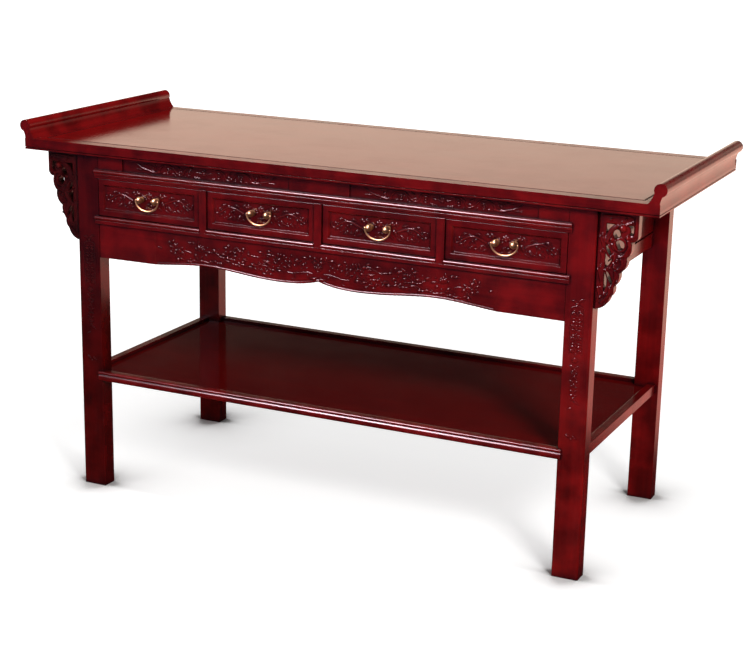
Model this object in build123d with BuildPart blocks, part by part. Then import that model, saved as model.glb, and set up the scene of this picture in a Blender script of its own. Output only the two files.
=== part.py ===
"""Chinese altar table: framed top with everted end flanges, carved frieze, four drawers on
bearers, cusped apron, pierced corner brackets, four straight legs and a low panelled shelf.

Millimetres. Origin on the floor under the middle of the top, +Z up, front of the table at -Y.
Joints are drawn as they are cut: mitres, tongues in grooves, tenons in mortises, dovetails.
"""

import os
from math import cos, degrees, pi, radians, sin

from build123d import *

# ---- driving dimensions: whole table ----
table_height = 820.0      # floor to the flat of the top
top_length = 1500.0       # across the underside, outer face to outer face of the end members
top_depth = 600.0
top_thick = 25.0
leg_width = 58.0          # along X
leg_depth = 38.0          # along Y
leg_set_in = 130.0        # legs' outer faces inboard of the ends of the top
leg_set_back = 14.0       # legs' front and back faces behind the edges of the top
leg_round = 5.0           # round-over of each leg's outer arris
leg_ease = 1.5            # eased arris beside it

# ---- joints shared by many pieces ----
tongue_thick = 6.0
tongue_long = 8.0
tongue_room = 1.0         # empty depth left in a groove behind its tongue
tenon_long = 22.0
tenon_room = 1.0
tenon_shoulder = 3.0

# ---- top frame ----
top_rail_wide = 30.0      # front and back members
top_end_wide = 39.0       # end members
panel_thick = 12.0
panel_gap = 1.5           # open line between the floating panel and its frame
panel_chamfer = 1.0
edge_bead = 3.5           # height of the small bead along the lower arris of the edge
edge_quirk = 1.6          # height and depth of the quirk above that bead
batten_wide = 40.0
batten_tenon = 6.0
batten_shoulder = 2.0
batten_inner_x = 192.0    # centre of each inner batten
batten_lap = 5.0          # outer battens start this far inboard of the legs' inner faces
leg_tenon_in = 1.0        # leg's top tenon behind the leg's outer face
leg_tenon_wide = 29.0

# ---- everted flange on each end of the top ----
flange_bead_r = 13.5
flange_bead_in = 1.2      # centre of the bead inboard of the outer face
flange_rise = 42.0        # top of the bead above the flat of the top
flange_foot = 26.0        # where the inner slope meets the flat, inboard of the outer face
flange_hollow = (17.7, 11.3)  # a point on that slope: inboard of the outer face, above the flat
flange_cove_low = 14.0    # start of the outer cove, below the flat of the top
flange_cove_deep = 1.2
flange_neck_degrees = (-72.0, 205.0)  # where cove and slope meet the bead, up from outboard
flange_bead_degrees = 60.0            # a place on the bead between them

# ---- moulded front rails ----
frieze_high = 32.0        # middle rail below the underside of the top
mid_rail_high = 20.0
opening_high = 87.0       # height of a drawer opening, rail to rail
low_rail_high = 18.0
rail_deep = 24.0          # body of a rail, behind the leg faces
rail_bead_r = 5.0
rail_proud = 6.0          # front of the bead in front of the leg faces
rail_band_proud = 3.5     # upper flat band under the bead
rail_band_step = 1.5      # each lower band sits this much further back
rail_lap = 8.0            # moulding run onto the face of a leg

# ---- frieze between the top and the middle rail ----
frieze_back = 5.0         # carved panels behind the leg faces
frieze_thick = 14.0
frieze_block_proud = 3.5  # plain blocks in front of the carved panels
frieze_end_block = 65.0
frieze_mid_block = 144.0

# ---- drawers ----
drawer_count = 4
divider_wide = 18.0
divider_proud = 4.0       # divider in front of the leg faces
divider_tenon = 8.0
front_thick = 18.0
front_reveal = 1.0        # gap all round a drawer front
front_rim = 13.0
field_deep = 5.0
field_taper = 38.0        # slope of the rim's inner edge, degrees
front_ease = 1.2
side_thick = 10.0
side_play = 1.5           # drawer side to the edge of its opening
side_high = 80.0
drawer_long = 470.0       # face of the front to the back end of the sides
drawer_play = 0.3         # running gap over the bearers
drawer_floor = 5.0
drawer_floor_up = 8.0
drawer_groove = 4.0
back_set = 6.0            # drawer back in front of the ends of the sides
tail_long = 9.0
tail_high = 18.0
tail_splay = 3.0
tail_count = 3

# ---- what the drawers run in ----
bearer_wide = 50.0
bearer_thick = 16.0
bearer_housed = 3.0       # ends of bearers and kickers let into the rails
end_bearer_wide = 36.0
guide_high = 12.0
guide_play = 0.5
kicker_thick = 14.0

# ---- bail pulls ----
post_apart = 40.0         # between the two posts
post_up = 5.0             # posts above the middle of the drawer front
knob_r = 7.8
knob_reach = 14.0         # far side of the knob in front of the leg faces
neck_r = 3.0
collar_r = 6.5
collar_thick = 1.6
shank_r = 2.5
shank_hole_r = 2.7
nut_wide = 8.0            # across flats
nut_thick = 3.5
bail_end_r = 1.5          # wire of the bail beside the knobs
bail_wire_r = 2.2         # and at its lowest point
bail_gap = 0.4            # bail beside its knob
bail_drop = 26.0          # pivot to the lowest point of the bail
pin_r = 1.5
pin_play = 0.075
pin_in = 4.0
pin_room = 1.0

# ---- apron ----
apron_thick = 18.0
apron_back = 2.0          # face behind the leg faces
apron_seam = 413.0        # seams of the carved board, from the middle
apron_end_drop = 80.0     # every drop is below the lower rail
apron_seam_drop = 79.0
apron_cusp_drop = 67.0
apron_lobe = (108.0, 79.5)    # lowest point of the lobe: from the middle, drop
apron_rise = (268.0, 68.0)    # highest point beyond it
apron_cusp_slope = 0.32
apron_seam_slope = 0.10
apron_tenon = 10.0

# ---- corner brackets: (out from the leg, down from the top) for every point ----
bracket_thick = 20.0
bracket_set = 10.0        # face behind the leg faces
bracket_wide = 83.0
bracket_high = 204.0
bracket_stile = 17.0
bracket_head = 27.0
bracket_tip = 48.0        # length of the short outer stile
bracket_tongue = 6.0
bracket_hollow = (4.0, 8.5)   # middle of the hollow below that stile, from its lower end
bracket_lobes = [(69, 60), (70.5, 78.5), (62, 93), (60, 113), (48, 126), (46.5, 143), (38, 155),
                 (37.5, 169), (31, 178), (20, 196), (0, bracket_high)]
bracket_corner = (19.0, 27.0)     # three-cornered opening in the angle: across, down
bracket_corner_arc = (6.0, 11.5)  # middle of its curved side, from the angle
bracket_holes = [
    [(61, 27), (67, 26.5), (73, 27), (73.2, 36), (73, 45), (69, 46.5), (65, 46), (67, 36)],
    [(38, 62), (47, 58), (55, 63), (54, 75), (44, 78), (40, 70)],
    [(34, 40), (40, 37), (45, 41), (46, 51), (37, 57), (32, 49)],
    [(19, 69), (20, 82), (29, 92), (25.5, 79)],
    [(18, 86), (17.6, 102), (18, 118), (27, 109), (32, 98), (25, 95)],
    [(22, 123), (30, 134), (35, 151), (26, 142)],
    [(17.5, 126), (17.2, 146), (17.5, 166), (23.5, 147)]]

# ---- closed sides and back of the drawer case ----
side_panel_thick = 23.0   # inner face flush with the legs' inner faces
side_rail_high = 32.0
side_rail_up = 6.0        # its top above the underside of the lower front rail
side_shadow = 4.0         # open line between side panel and side rail
side_tenon_long = 19.0
back_panel_thick = 12.0
back_panel_in = 12.0      # its back face in front of the back legs' back faces
back_rail_thick = 20.0

# ---- shelf ----
shelf_low = 263.0
shelf_high = 22.0
shelf_lip = 8.0           # rails above the panel
shelf_rail_wide = 18.0
shelf_panel_thick = 8.0
shelf_panel_in = 6.0      # tongues of the panel let into the rails
shelf_tongue_thick = 5.0
shelf_gap = 0.5           # open line between the face of the panel and the rails
shelf_tenon_long = 18.0
shelf_shoulder = 2.0
shelf_end_in = 8.0        # outer faces of the end rails inboard of the legs' outer faces
shelf_back_in = 3.0
shelf_proud = 6.0         # moulded front in front of the leg faces
shelf_bead_high = 7.0     # upper of the two beads on the front rail
shelf_batten_wide = 40.0
shelf_batten_x = 200.0    # centre of each batten

# ---- places worked out from those ----
under = table_height - top_thick
end_x = top_length / 2
edge_y = top_depth / 2
panel_x = end_x - top_end_wide
panel_y = edge_y - top_rail_wide
panel_low = table_height - panel_thick
leg_out_x = end_x - leg_set_in
leg_in_x = leg_out_x - leg_width
leg_out_y = edge_y - leg_set_back
leg_in_y = leg_out_y - leg_depth
face_y = -leg_out_y
batten_outer_x = leg_in_x - batten_lap + batten_wide / 2
batten_x = [-batten_outer_x, -batten_inner_x, batten_inner_x, batten_outer_x]
mid_rail_top = under - frieze_high
mid_rail_low = mid_rail_top - mid_rail_high
low_rail_top = mid_rail_low - opening_high
low_rail_low = low_rail_top - low_rail_high
rail_back_y = face_y + rail_deep
opening_wide = (2 * leg_in_x - (drawer_count - 1) * divider_wide) / drawer_count
pitch = opening_wide + divider_wide
drawer_x = [(i - (drawer_count - 1) / 2) * pitch for i in range(drawer_count)]
divider_x = [(i - drawer_count / 2) * pitch for i in range(1, drawer_count)]
housing_low = low_rail_top - 2 * rail_bead_r
frieze_y = face_y + frieze_back
frieze_panel_x = leg_in_x - frieze_end_block
apron_y = face_y + apron_back
bracket_y = face_y + bracket_set
side_x = leg_in_x + side_panel_thick
side_rail_top = low_rail_low + side_rail_up
side_rail_low = side_rail_top - side_rail_high
back_y = leg_out_y - back_panel_in
back_in_y = back_y - back_panel_thick
back_rail_y = back_y - back_rail_thick
shelf_top = shelf_low + shelf_high
shelf_panel_top = shelf_top - shelf_lip
shelf_panel_low = shelf_panel_top - shelf_panel_thick
shelf_tongue_z = (shelf_panel_low, shelf_panel_low + shelf_tongue_thick)
shelf_front_y = face_y - shelf_proud
shelf_back_y = leg_out_y - shelf_back_in
shelf_end_x = leg_out_x - shelf_end_in
shelf_in_front = shelf_front_y + shelf_rail_wide
shelf_in_back = shelf_back_y - shelf_rail_wide
shelf_in_x = shelf_end_x - shelf_rail_wide

# ---- where the joints lie, for the piece that fits and for the piece that is cut ----
rail_tenon_y = (face_y + 2 * tenon_shoulder, rail_back_y - tenon_shoulder)
bearer_tenon_z = (low_rail_top - bearer_thick + tenon_shoulder, low_rail_top - tenon_shoulder)
kicker_tenon_z = (mid_rail_low + tenon_shoulder, mid_rail_low + kicker_thick - tenon_shoulder)
apron_tongue_y = (apron_y + tongue_thick, apron_y + 2 * tongue_thick)
apron_tongue_z = (low_rail_low, low_rail_low + tongue_thick)
apron_tenon_z = (low_rail_low - apron_end_drop + tenon_shoulder, low_rail_low)
bracket_tongue_y = (bracket_y + (bracket_thick - tongue_thick) / 2,
                    bracket_y + (bracket_thick + tongue_thick) / 2)
bracket_tongue_z = (under - bracket_high + 2 * bracket_tongue, under)
side_tongue_x = (side_x - (side_panel_thick + tongue_thick) / 2,
                 side_x - (side_panel_thick - tongue_thick) / 2)
side_tenon_x = (leg_in_x + tenon_shoulder, side_x - tenon_shoulder)
side_tenon_z = (side_rail_low + tenon_shoulder, low_rail_low - tenon_shoulder)
back_tongue_y = (back_y - (back_panel_thick + tongue_thick) / 2,
                 back_y - (back_panel_thick - tongue_thick) / 2)
back_tenon_y = (back_rail_y + tenon_shoulder, back_y - tenon_shoulder)
back_tenon_z = (low_rail_low + tenon_shoulder, low_rail_top - tenon_shoulder)
shelf_tenon_z = (shelf_low + shelf_shoulder, shelf_top - shelf_shoulder)
shelf_front_tenon_y = (face_y + shelf_shoulder, shelf_in_front - shelf_shoulder)
shelf_back_tenon_y = (shelf_in_back + shelf_shoulder, shelf_back_y - shelf_shoulder)
shelf_end_tenon_x = (shelf_in_x + shelf_shoulder, shelf_end_x - shelf_shoulder)

os.makedirs("parts", exist_ok=True)


def save(piece, name):
    """Label a finished piece and write its STEP file."""
    piece.part.label = name
    export_step(piece.part, f"parts/{name}.step")


def block(x, y, z, mode=Mode.ADD):
    """Box between two limits on each axis, given in either order."""
    spans = [(min(s), max(s)) for s in (x, y, z)]
    with Locations(tuple((low + high) / 2 for low, high in spans)):
        Box(*(high - low for low, high in spans), mode=mode)


def sided(side, span):
    """A pair of limits as it is for side 1, mirrored for side -1."""
    return (side * span[0], side * span[1])


def about(middle, wide):
    """Limits of a width centred on a place."""
    return (middle - wide / 2, middle + wide / 2)


# ---- top: mitred frame, floating panel, battens ----

def leg_top_tenon(end, side):
    """Limits of the tenon that a leg puts up into the front or back member of the top."""
    x = about(end * (leg_in_x + leg_width / 2), leg_tenon_wide)
    y = sided(side, (panel_y + batten_tenon + tenon_room, leg_out_y - leg_tenon_in))
    return x, y, (under, panel_low)


def batten_tenons(x, mode):
    """Both end tenons of a batten, to add to it or to cut from the frame."""
    for side in (-1, 1):
        block(about(x, batten_wide - 2 * batten_shoulder),
              sided(side, (panel_y, panel_y + batten_tenon)),
              (under + batten_shoulder, panel_low - batten_shoulder), mode)


for side, word in ((-1, "front"), (1, "back")):
    with BuildPart() as long_rail:
        with BuildSketch(Plane.XY.offset(under)):
            with BuildLine():
                Polyline((-end_x, side * edge_y), (end_x, side * edge_y),
                         (panel_x, side * panel_y), (-panel_x, side * panel_y), close=True)
            make_face()
        extrude(amount=top_thick)
        block((-panel_x, panel_x), sided(side, (panel_y, panel_y + tongue_long + tongue_room)),
              (panel_low, panel_low + tongue_thick), Mode.SUBTRACT)
        block((-end_x, end_x), sided(side, (edge_y - edge_quirk, edge_y)),
              (under + edge_bead, under + edge_bead + edge_quirk), Mode.SUBTRACT)
        for x in batten_x:
            batten_tenons(x, Mode.SUBTRACT)
        for end in (-1, 1):
            block(*leg_top_tenon(end, side), Mode.SUBTRACT)
    save(long_rail, f"top_{word}_rail")


def bead_point(end, turn):
    """Point on the round bead of a flange, turned up from straight outboard."""
    x = end_x - flange_bead_in + flange_bead_r * cos(radians(turn))
    z = table_height + flange_rise - flange_bead_r + flange_bead_r * sin(radians(turn))
    return (end * x, z)


for end, word in ((-1, "left"), (1, "right")):
    with BuildPart() as top_end:
        with BuildSketch(Plane.XZ.offset(-edge_y)):
            with BuildLine():
                neck_out, neck_in = (bead_point(end, turn) for turn in flange_neck_degrees)
                cove_foot = (end * end_x, table_height - flange_cove_low)
                cove_deep = (end * (end_x - flange_cove_deep), (cove_foot[1] + neck_out[1]) / 2)
                hollow = (end * (end_x - flange_hollow[0]), table_height + flange_hollow[1])
                foot = (end * (end_x - flange_foot), table_height)
                Polyline(foot, (end * panel_x, table_height), (end * panel_x, under),
                         (end * end_x, under), cove_foot)
                ThreePointArc(cove_foot, cove_deep, neck_out)
                ThreePointArc(neck_out, bead_point(end, flange_bead_degrees), neck_in)
                ThreePointArc(neck_in, hollow, foot)
            make_face()
        extrude(amount=top_depth)
        with BuildSketch(Plane.XY.offset(under)):
            for side in (-1, 1):
                with BuildLine():
                    Polyline((end * end_x, side * edge_y), (end * panel_x, side * panel_y),
                             (end * (panel_x - 1), side * panel_y),
                             (end * (panel_x - 1), side * (edge_y + 1)),
                             (end * end_x, side * (edge_y + 1)), close=True)
                make_face()
        extrude(amount=top_thick, mode=Mode.SUBTRACT)
        block(sided(end, (panel_x, panel_x + tongue_long + tongue_room)), (-panel_y, panel_y),
              (panel_low, panel_low + tongue_thick), Mode.SUBTRACT)
        block(sided(end, (end_x - edge_quirk, end_x)), (-edge_y, edge_y),
              (under + edge_bead, under + edge_bead + edge_quirk), Mode.SUBTRACT)
    save(top_end, f"top_end_{word}")

with BuildPart() as top_panel:
    block((-panel_x + panel_gap, panel_x - panel_gap), (-panel_y + panel_gap, panel_y - panel_gap),
          (panel_low, table_height))
    chamfer(top_panel.faces().sort_by(Axis.Z)[-1].edges(), panel_chamfer)
    block((-panel_x - tongue_long, panel_x + tongue_long), (-panel_y, panel_y),
          (panel_low, panel_low + tongue_thick))
    block((-panel_x, panel_x), (-panel_y - tongue_long, panel_y + tongue_long),
          (panel_low, panel_low + tongue_thick))
save(top_panel, "top_panel")

with BuildPart() as top_battens:
    for x in batten_x:
        block(about(x, batten_wide), (-panel_y, panel_y), (under, panel_low))
        batten_tenons(x, Mode.ADD)
save(top_battens, "top_battens")


# ---- legs, each cut for everything that it carries ----

def front_leg_cuts(end):
    """Mortises for the two moulded rails, the apron, the bracket and the shelf's front rail."""
    inward = sided(end, (leg_in_x, leg_in_x + tenon_long + tenon_room))
    for low, high in ((mid_rail_low, mid_rail_top), (low_rail_low, low_rail_top)):
        block(inward, rail_tenon_y, (low + tenon_shoulder, high - tenon_shoulder), Mode.SUBTRACT)
    block(sided(end, (leg_in_x, leg_in_x + apron_tenon + tenon_room)), apron_tongue_y,
          apron_tenon_z, Mode.SUBTRACT)
    block(sided(end, (leg_out_x - bracket_tongue - tongue_room, leg_out_x)), bracket_tongue_y,
          bracket_tongue_z, Mode.SUBTRACT)
    block(sided(end, (leg_in_x, leg_in_x + shelf_tenon_long + tenon_room)), shelf_front_tenon_y,
          shelf_tenon_z, Mode.SUBTRACT)


def back_leg_cuts(end):
    """Mortises for the back rail and the shelf's back rail, groove for the back panel."""
    block(sided(end, (leg_in_x, leg_in_x + tenon_long + tenon_room)), back_tenon_y,
          back_tenon_z, Mode.SUBTRACT)
    block(sided(end, (leg_in_x, leg_in_x + tongue_long)), back_tongue_y,
          (low_rail_top, under), Mode.SUBTRACT)
    block(sided(end, (leg_in_x, leg_in_x + shelf_tenon_long + tenon_room)), shelf_back_tenon_y,
          shelf_tenon_z, Mode.SUBTRACT)


def side_cuts(end, side):
    """Groove and mortises for the side panel, the side rail and the shelf's end rail."""
    block(sided(end, side_tongue_x), sided(side, (leg_in_y, leg_in_y + tongue_long)),
          (side_rail_top + side_shadow, under), Mode.SUBTRACT)
    block(sided(end, side_tenon_x), sided(side, (leg_in_y, leg_in_y + side_tenon_long)),
          side_tenon_z, Mode.SUBTRACT)
    block(sided(end, shelf_end_tenon_x), sided(side, (leg_in_y, leg_in_y + shelf_tenon_long)),
          shelf_tenon_z, Mode.SUBTRACT)


for side, front_back in ((-1, "front"), (1, "back")):
    for end, left_right in ((-1, "left"), (1, "right")):
        with BuildPart() as leg:
            block(sided(end, (leg_in_x, leg_out_x)), sided(side, (leg_in_y, leg_out_y)), (0, under))
            for x, radius in ((leg_out_x, leg_round), (leg_in_x, leg_ease)):
                arris = leg.edges().filter_by(Axis.Z).sort_by_distance(
                    (end * x, side * leg_out_y, under / 2))[0]
                fillet(arris, radius)
            block(*leg_top_tenon(end, side))
            side_cuts(end, side)
            if side < 0:
                front_leg_cuts(end)
            else:
                back_leg_cuts(end)
        save(leg, f"leg_{front_back}_{left_right}")


# ---- moulded rails and dividers ----

def moulded_rail(top, low, bands):
    """Rail between the front legs: a half-round bead over flat bands, run onto the leg faces,
    on a plain body with a tenon at each end."""
    bead_y = face_y - rail_proud + rail_bead_r
    bead_low = top - 2 * rail_bead_r
    band_high = (bead_low - low) / bands
    steps = [(bead_y, bead_low)]
    for i in range(bands):
        band_y = face_y - rail_band_proud + i * rail_band_step
        steps += [(band_y, bead_low - i * band_high), (band_y, bead_low - (i + 1) * band_high)]
    with BuildSketch(Plane.YZ) as section:
        with BuildLine():
            Polyline(*steps, (face_y, low), (face_y, top), (bead_y, top))
            ThreePointArc((bead_y, top), (bead_y - rail_bead_r, top - rail_bead_r), steps[0])
        make_face()
    extrude(section.sketch, amount=leg_in_x + rail_lap, both=True)
    block((-leg_in_x, leg_in_x), (face_y, rail_back_y), (low, top))
    block((-leg_in_x - tenon_long, leg_in_x + tenon_long), rail_tenon_y,
          (low + tenon_shoulder, top - tenon_shoulder))


def divider_tenons(z, mode):
    """A divider's tenon at each divider, over a height, to add to them or to cut for them."""
    for x in divider_x:
        block(about(x, divider_wide - 2 * tenon_shoulder), rail_tenon_y, z, mode)


runs = [about(x, bearer_wide) for x in divider_x]
runs += [sided(end, (leg_in_x - end_bearer_wide, leg_in_x)) for end in (-1, 1)]


def run_housings(y, z, mode):
    """The let-in end of each bearer or kicker, to add to it or to cut from its rail."""
    for x in runs:
        block((min(x) + tenon_shoulder, max(x) - tenon_shoulder), y, z, mode)


with BuildPart() as mid_rail:
    moulded_rail(mid_rail_top, mid_rail_low, bands=2)
    divider_tenons((mid_rail_low, mid_rail_low + divider_tenon), Mode.SUBTRACT)
    run_housings((rail_back_y - bearer_housed, rail_back_y), kicker_tenon_z, Mode.SUBTRACT)
save(mid_rail, "mid_rail")

with BuildPart() as lower_rail:
    moulded_rail(low_rail_top, low_rail_low, bands=1)
    divider_tenons((low_rail_top - divider_tenon, low_rail_top), Mode.SUBTRACT)
    for x in divider_x:
        block(about(x, divider_wide), (face_y - rail_proud, face_y), (housing_low, low_rail_top),
              Mode.SUBTRACT)
    run_housings((rail_back_y - bearer_housed, rail_back_y), bearer_tenon_z, Mode.SUBTRACT)
    block((-leg_in_x, leg_in_x), apron_tongue_y, apron_tongue_z, Mode.SUBTRACT)
save(lower_rail, "lower_rail")

with BuildPart() as drawer_dividers:
    for x in divider_x:
        wide = about(x, divider_wide)
        block(wide, (face_y - divider_proud, rail_back_y), (low_rail_top, mid_rail_low))
        block(wide, (face_y - divider_proud, face_y), (housing_low, low_rail_top))
    divider_tenons((low_rail_top - divider_tenon, mid_rail_low + divider_tenon), Mode.ADD)
save(drawer_dividers, "drawer_dividers")


# ---- frieze ----

for end, word in ((-1, "left"), (1, "right")):
    with BuildPart() as frieze_panel:
        block(sided(end, (frieze_mid_block / 2, frieze_panel_x)),
              (frieze_y, frieze_y + frieze_thick), (mid_rail_top, under))
    save(frieze_panel, f"frieze_panel_{word}")

with BuildPart() as frieze_blocks:
    for x in ((-leg_in_x, -frieze_panel_x), about(0, frieze_mid_block), (frieze_panel_x, leg_in_x)):
        block(x, (frieze_y - frieze_block_proud, frieze_y + frieze_thick), (mid_rail_top, under))
save(frieze_blocks, "frieze_blocks")


# ---- apron: a cusped board between two plain ones, tongued into the lower rail ----

with BuildPart() as apron_center:
    with BuildSketch(Plane.XZ.offset(-apron_y)):
        with BuildLine():
            for end in (-1, 1):
                seam = (end * apron_seam, low_rail_low - apron_seam_drop)
                Spline((0, low_rail_low - apron_cusp_drop),
                       (end * apron_lobe[0], low_rail_low - apron_lobe[1]),
                       (end * apron_rise[0], low_rail_low - apron_rise[1]), seam,
                       tangents=((end, -apron_cusp_slope), (end, -apron_seam_slope)))
                Polyline(seam, (end * apron_seam, low_rail_low), (0, low_rail_low))
        make_face()
    extrude(amount=-apron_thick)
    block((-apron_seam, apron_seam), apron_tongue_y, apron_tongue_z)
save(apron_center, "apron_center")

for end, word in ((-1, "left"), (1, "right")):
    with BuildPart() as apron_end:
        with BuildSketch(Plane.XZ.offset(-apron_y)):
            with BuildLine():
                Polyline((end * apron_seam, low_rail_low - apron_seam_drop),
                         (end * leg_in_x, low_rail_low - apron_end_drop),
                         (end * leg_in_x, low_rail_low), (end * apron_seam, low_rail_low),
                         close=True)
            make_face()
        extrude(amount=-apron_thick)
        block(sided(end, (apron_seam, leg_in_x)), apron_tongue_y, apron_tongue_z)
        block(sided(end, (leg_in_x, leg_in_x + apron_tenon)), apron_tongue_y, apron_tenon_z)
    save(apron_end, f"apron_{word}")


# ---- pierced corner brackets outside the front legs ----

def bracket_hole(end, points):
    """Opening bounded by arcs: every second point lies in the middle of an arc."""
    places = [bracket_at(end, p) for p in points + points[:1]]
    with BuildLine() as outline:
        for start, middle, stop in zip(places[::2], places[1::2], places[2::2]):
            ThreePointArc(start, middle, stop)
    make_face(outline.edges(), mode=Mode.SUBTRACT)


def bracket_at(end, point):
    """A bracket point, given out from the leg and down from the top, in the table's X and Z."""
    return (end * (leg_out_x + point[0]), under - point[1])


for end, word in ((-1, "left"), (1, "right")):
    with BuildPart() as bracket:
        with BuildSketch(Plane.XZ.offset(-bracket_y)):
            with BuildLine():
                Polyline(*(bracket_at(end, p) for p in
                           ((0, bracket_high), (0, 0), (bracket_wide, 0), (bracket_wide, bracket_tip))))
                ThreePointArc(bracket_at(end, (bracket_wide, bracket_tip)),
                              bracket_at(end, (bracket_wide - bracket_hollow[0],
                                               bracket_tip + bracket_hollow[1])),
                              bracket_at(end, bracket_lobes[0]))
                for i in range(0, len(bracket_lobes) - 1, 2):
                    ThreePointArc(*(bracket_at(end, p) for p in bracket_lobes[i:i + 3]))
            make_face()
            with BuildLine():
                corner = bracket_at(end, (bracket_stile, bracket_head))
                high = bracket_at(end, (bracket_stile + bracket_corner[0], bracket_head))
                low = bracket_at(end, (bracket_stile, bracket_head + bracket_corner[1]))
                Polyline(high, corner, low)
                ThreePointArc(low, bracket_at(end, (bracket_stile + bracket_corner_arc[0],
                                                    bracket_head + bracket_corner_arc[1])), high)
            make_face(mode=Mode.SUBTRACT)
            for points in bracket_holes:
                bracket_hole(end, points)
        extrude(amount=-bracket_thick)
        block(sided(end, (leg_out_x - bracket_tongue, leg_out_x)), bracket_tongue_y,
              bracket_tongue_z)
    save(bracket, f"bracket_{word}")


# ---- closed sides and back of the drawer case ----

for end, word in ((-1, "left"), (1, "right")):
    with BuildPart() as side_panel:
        foot = side_rail_top + side_shadow
        block(sided(end, (leg_in_x, side_x)), (-leg_in_y, leg_in_y), (foot, under))
        block(sided(end, side_tongue_x), (-leg_in_y - tongue_long, leg_in_y + tongue_long),
              (foot, under))
        block(sided(end, side_tongue_x), (-leg_in_y, leg_in_y), (side_rail_top - tongue_long, foot))
    save(side_panel, f"side_panel_{word}")

    with BuildPart() as side_rail:
        block(sided(end, (leg_in_x, side_x)), (-leg_in_y, leg_in_y), (side_rail_low, side_rail_top))
        block(sided(end, side_tongue_x), (-leg_in_y, leg_in_y),
              (side_rail_top - tongue_long, side_rail_top), Mode.SUBTRACT)
        for side in (-1, 1):
            block(sided(end, side_tenon_x), sided(side, (leg_in_y, leg_in_y + side_tenon_long)),
                  side_tenon_z)
    save(side_rail, f"side_rail_{word}")

with BuildPart() as back_panel:
    block((-leg_in_x, leg_in_x), (back_in_y, back_y), (low_rail_top, under))
    block((-leg_in_x - tongue_long, leg_in_x + tongue_long), back_tongue_y, (low_rail_top, under))
save(back_panel, "back_panel")

with BuildPart() as back_rail:
    block((-leg_in_x, leg_in_x), (back_rail_y, back_y), (side_rail_low, low_rail_top))
    block((-leg_in_x - tenon_long, leg_in_x + tenon_long), back_tenon_y, back_tenon_z)
    run_housings((back_rail_y, back_rail_y + bearer_housed), bearer_tenon_z, Mode.SUBTRACT)
save(back_rail, "back_rail")


# ---- bearers, guides and kickers ----

with BuildPart() as drawer_bearers:
    for x in runs:
        block(x, (rail_back_y, back_rail_y), (low_rail_top - bearer_thick, low_rail_top))
    run_housings((rail_back_y - bearer_housed, back_rail_y + bearer_housed), bearer_tenon_z,
                 Mode.ADD)
save(drawer_bearers, "drawer_bearers")

with BuildPart() as drawer_guides:
    for x in divider_x:
        block(about(x, divider_wide + 2 * (side_play - guide_play)), (rail_back_y, back_rail_y),
              (low_rail_top, low_rail_top + guide_high))
save(drawer_guides, "drawer_guides")

with BuildPart() as drawer_kickers:
    for x in runs:
        block(x, (rail_back_y, back_in_y), (mid_rail_low, mid_rail_low + kicker_thick))
    run_housings((rail_back_y - bearer_housed, rail_back_y), kicker_tenon_z, Mode.ADD)
save(drawer_kickers, "drawer_kickers")


# ---- shelf ----

with BuildPart() as shelf_front_rail:
    turn_y = shelf_front_y + shelf_bead_high / 2
    bead_low = shelf_top - shelf_bead_high
    with BuildSketch(Plane.YZ):
        with BuildLine():
            Polyline((turn_y, shelf_top), (face_y, shelf_top), (face_y, shelf_low),
                     (turn_y, shelf_low))
            ThreePointArc((turn_y, shelf_low), (shelf_front_y, (shelf_low + bead_low) / 2),
                          (turn_y, bead_low))
            ThreePointArc((turn_y, bead_low), (shelf_front_y, (shelf_top + bead_low) / 2),
                          (turn_y, shelf_top))
        make_face()
    extrude(amount=leg_in_x + rail_lap, both=True)
    block((-leg_in_x, leg_in_x), (face_y, shelf_in_front), (shelf_low, shelf_top))
    block((-leg_in_x - shelf_tenon_long, leg_in_x + shelf_tenon_long), shelf_front_tenon_y,
          shelf_tenon_z)
    block((-leg_in_x, leg_in_x), (shelf_in_front - shelf_panel_in, shelf_in_front),
          shelf_tongue_z, Mode.SUBTRACT)
save(shelf_front_rail, "shelf_front_rail")

with BuildPart() as shelf_back_rail:
    block((-leg_in_x, leg_in_x), (shelf_in_back, shelf_back_y), (shelf_low, shelf_top))
    block((-leg_in_x - shelf_tenon_long, leg_in_x + shelf_tenon_long), shelf_back_tenon_y,
          shelf_tenon_z)
    block((-leg_in_x, leg_in_x), (shelf_in_back, shelf_in_back + shelf_panel_in),
          shelf_tongue_z, Mode.SUBTRACT)
save(shelf_back_rail, "shelf_back_rail")

for end, word in ((-1, "left"), (1, "right")):
    with BuildPart() as shelf_end_rail:
        block(sided(end, (shelf_in_x, shelf_end_x)), (-leg_in_y, leg_in_y), (shelf_low, shelf_top))
        block(sided(end, shelf_end_tenon_x),
              (-leg_in_y - shelf_tenon_long, leg_in_y + shelf_tenon_long), shelf_tenon_z)
        block(sided(end, (shelf_in_x, shelf_in_x + shelf_panel_in)), (-leg_in_y, leg_in_y),
              shelf_tongue_z, Mode.SUBTRACT)
    save(shelf_end_rail, f"shelf_{word}_rail")

with BuildPart() as shelf_panel:
    block((-shelf_in_x + shelf_gap, shelf_in_x - shelf_gap),
          (shelf_in_front + shelf_gap, shelf_in_back - shelf_gap), (shelf_panel_low, shelf_panel_top))
    block((-shelf_in_x - shelf_panel_in, shelf_in_x + shelf_panel_in),
          (shelf_in_front - shelf_panel_in, shelf_in_back + shelf_panel_in), shelf_tongue_z)
    for end in (-1, 1):
        for side in (-1, 1):
            block(sided(end, (leg_in_x, leg_out_x)), sided(side, (leg_in_y, leg_out_y)),
                  (shelf_panel_low, shelf_panel_top), Mode.SUBTRACT)
save(shelf_panel, "shelf_panel")

with BuildPart() as shelf_battens:
    for end in (-1, 1):
        block(about(end * shelf_batten_x, shelf_batten_wide), (shelf_in_front, shelf_in_back),
              (shelf_low, shelf_panel_low))
save(shelf_battens, "shelf_battens")


# ---- drawers, numbered from the left ----

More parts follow.
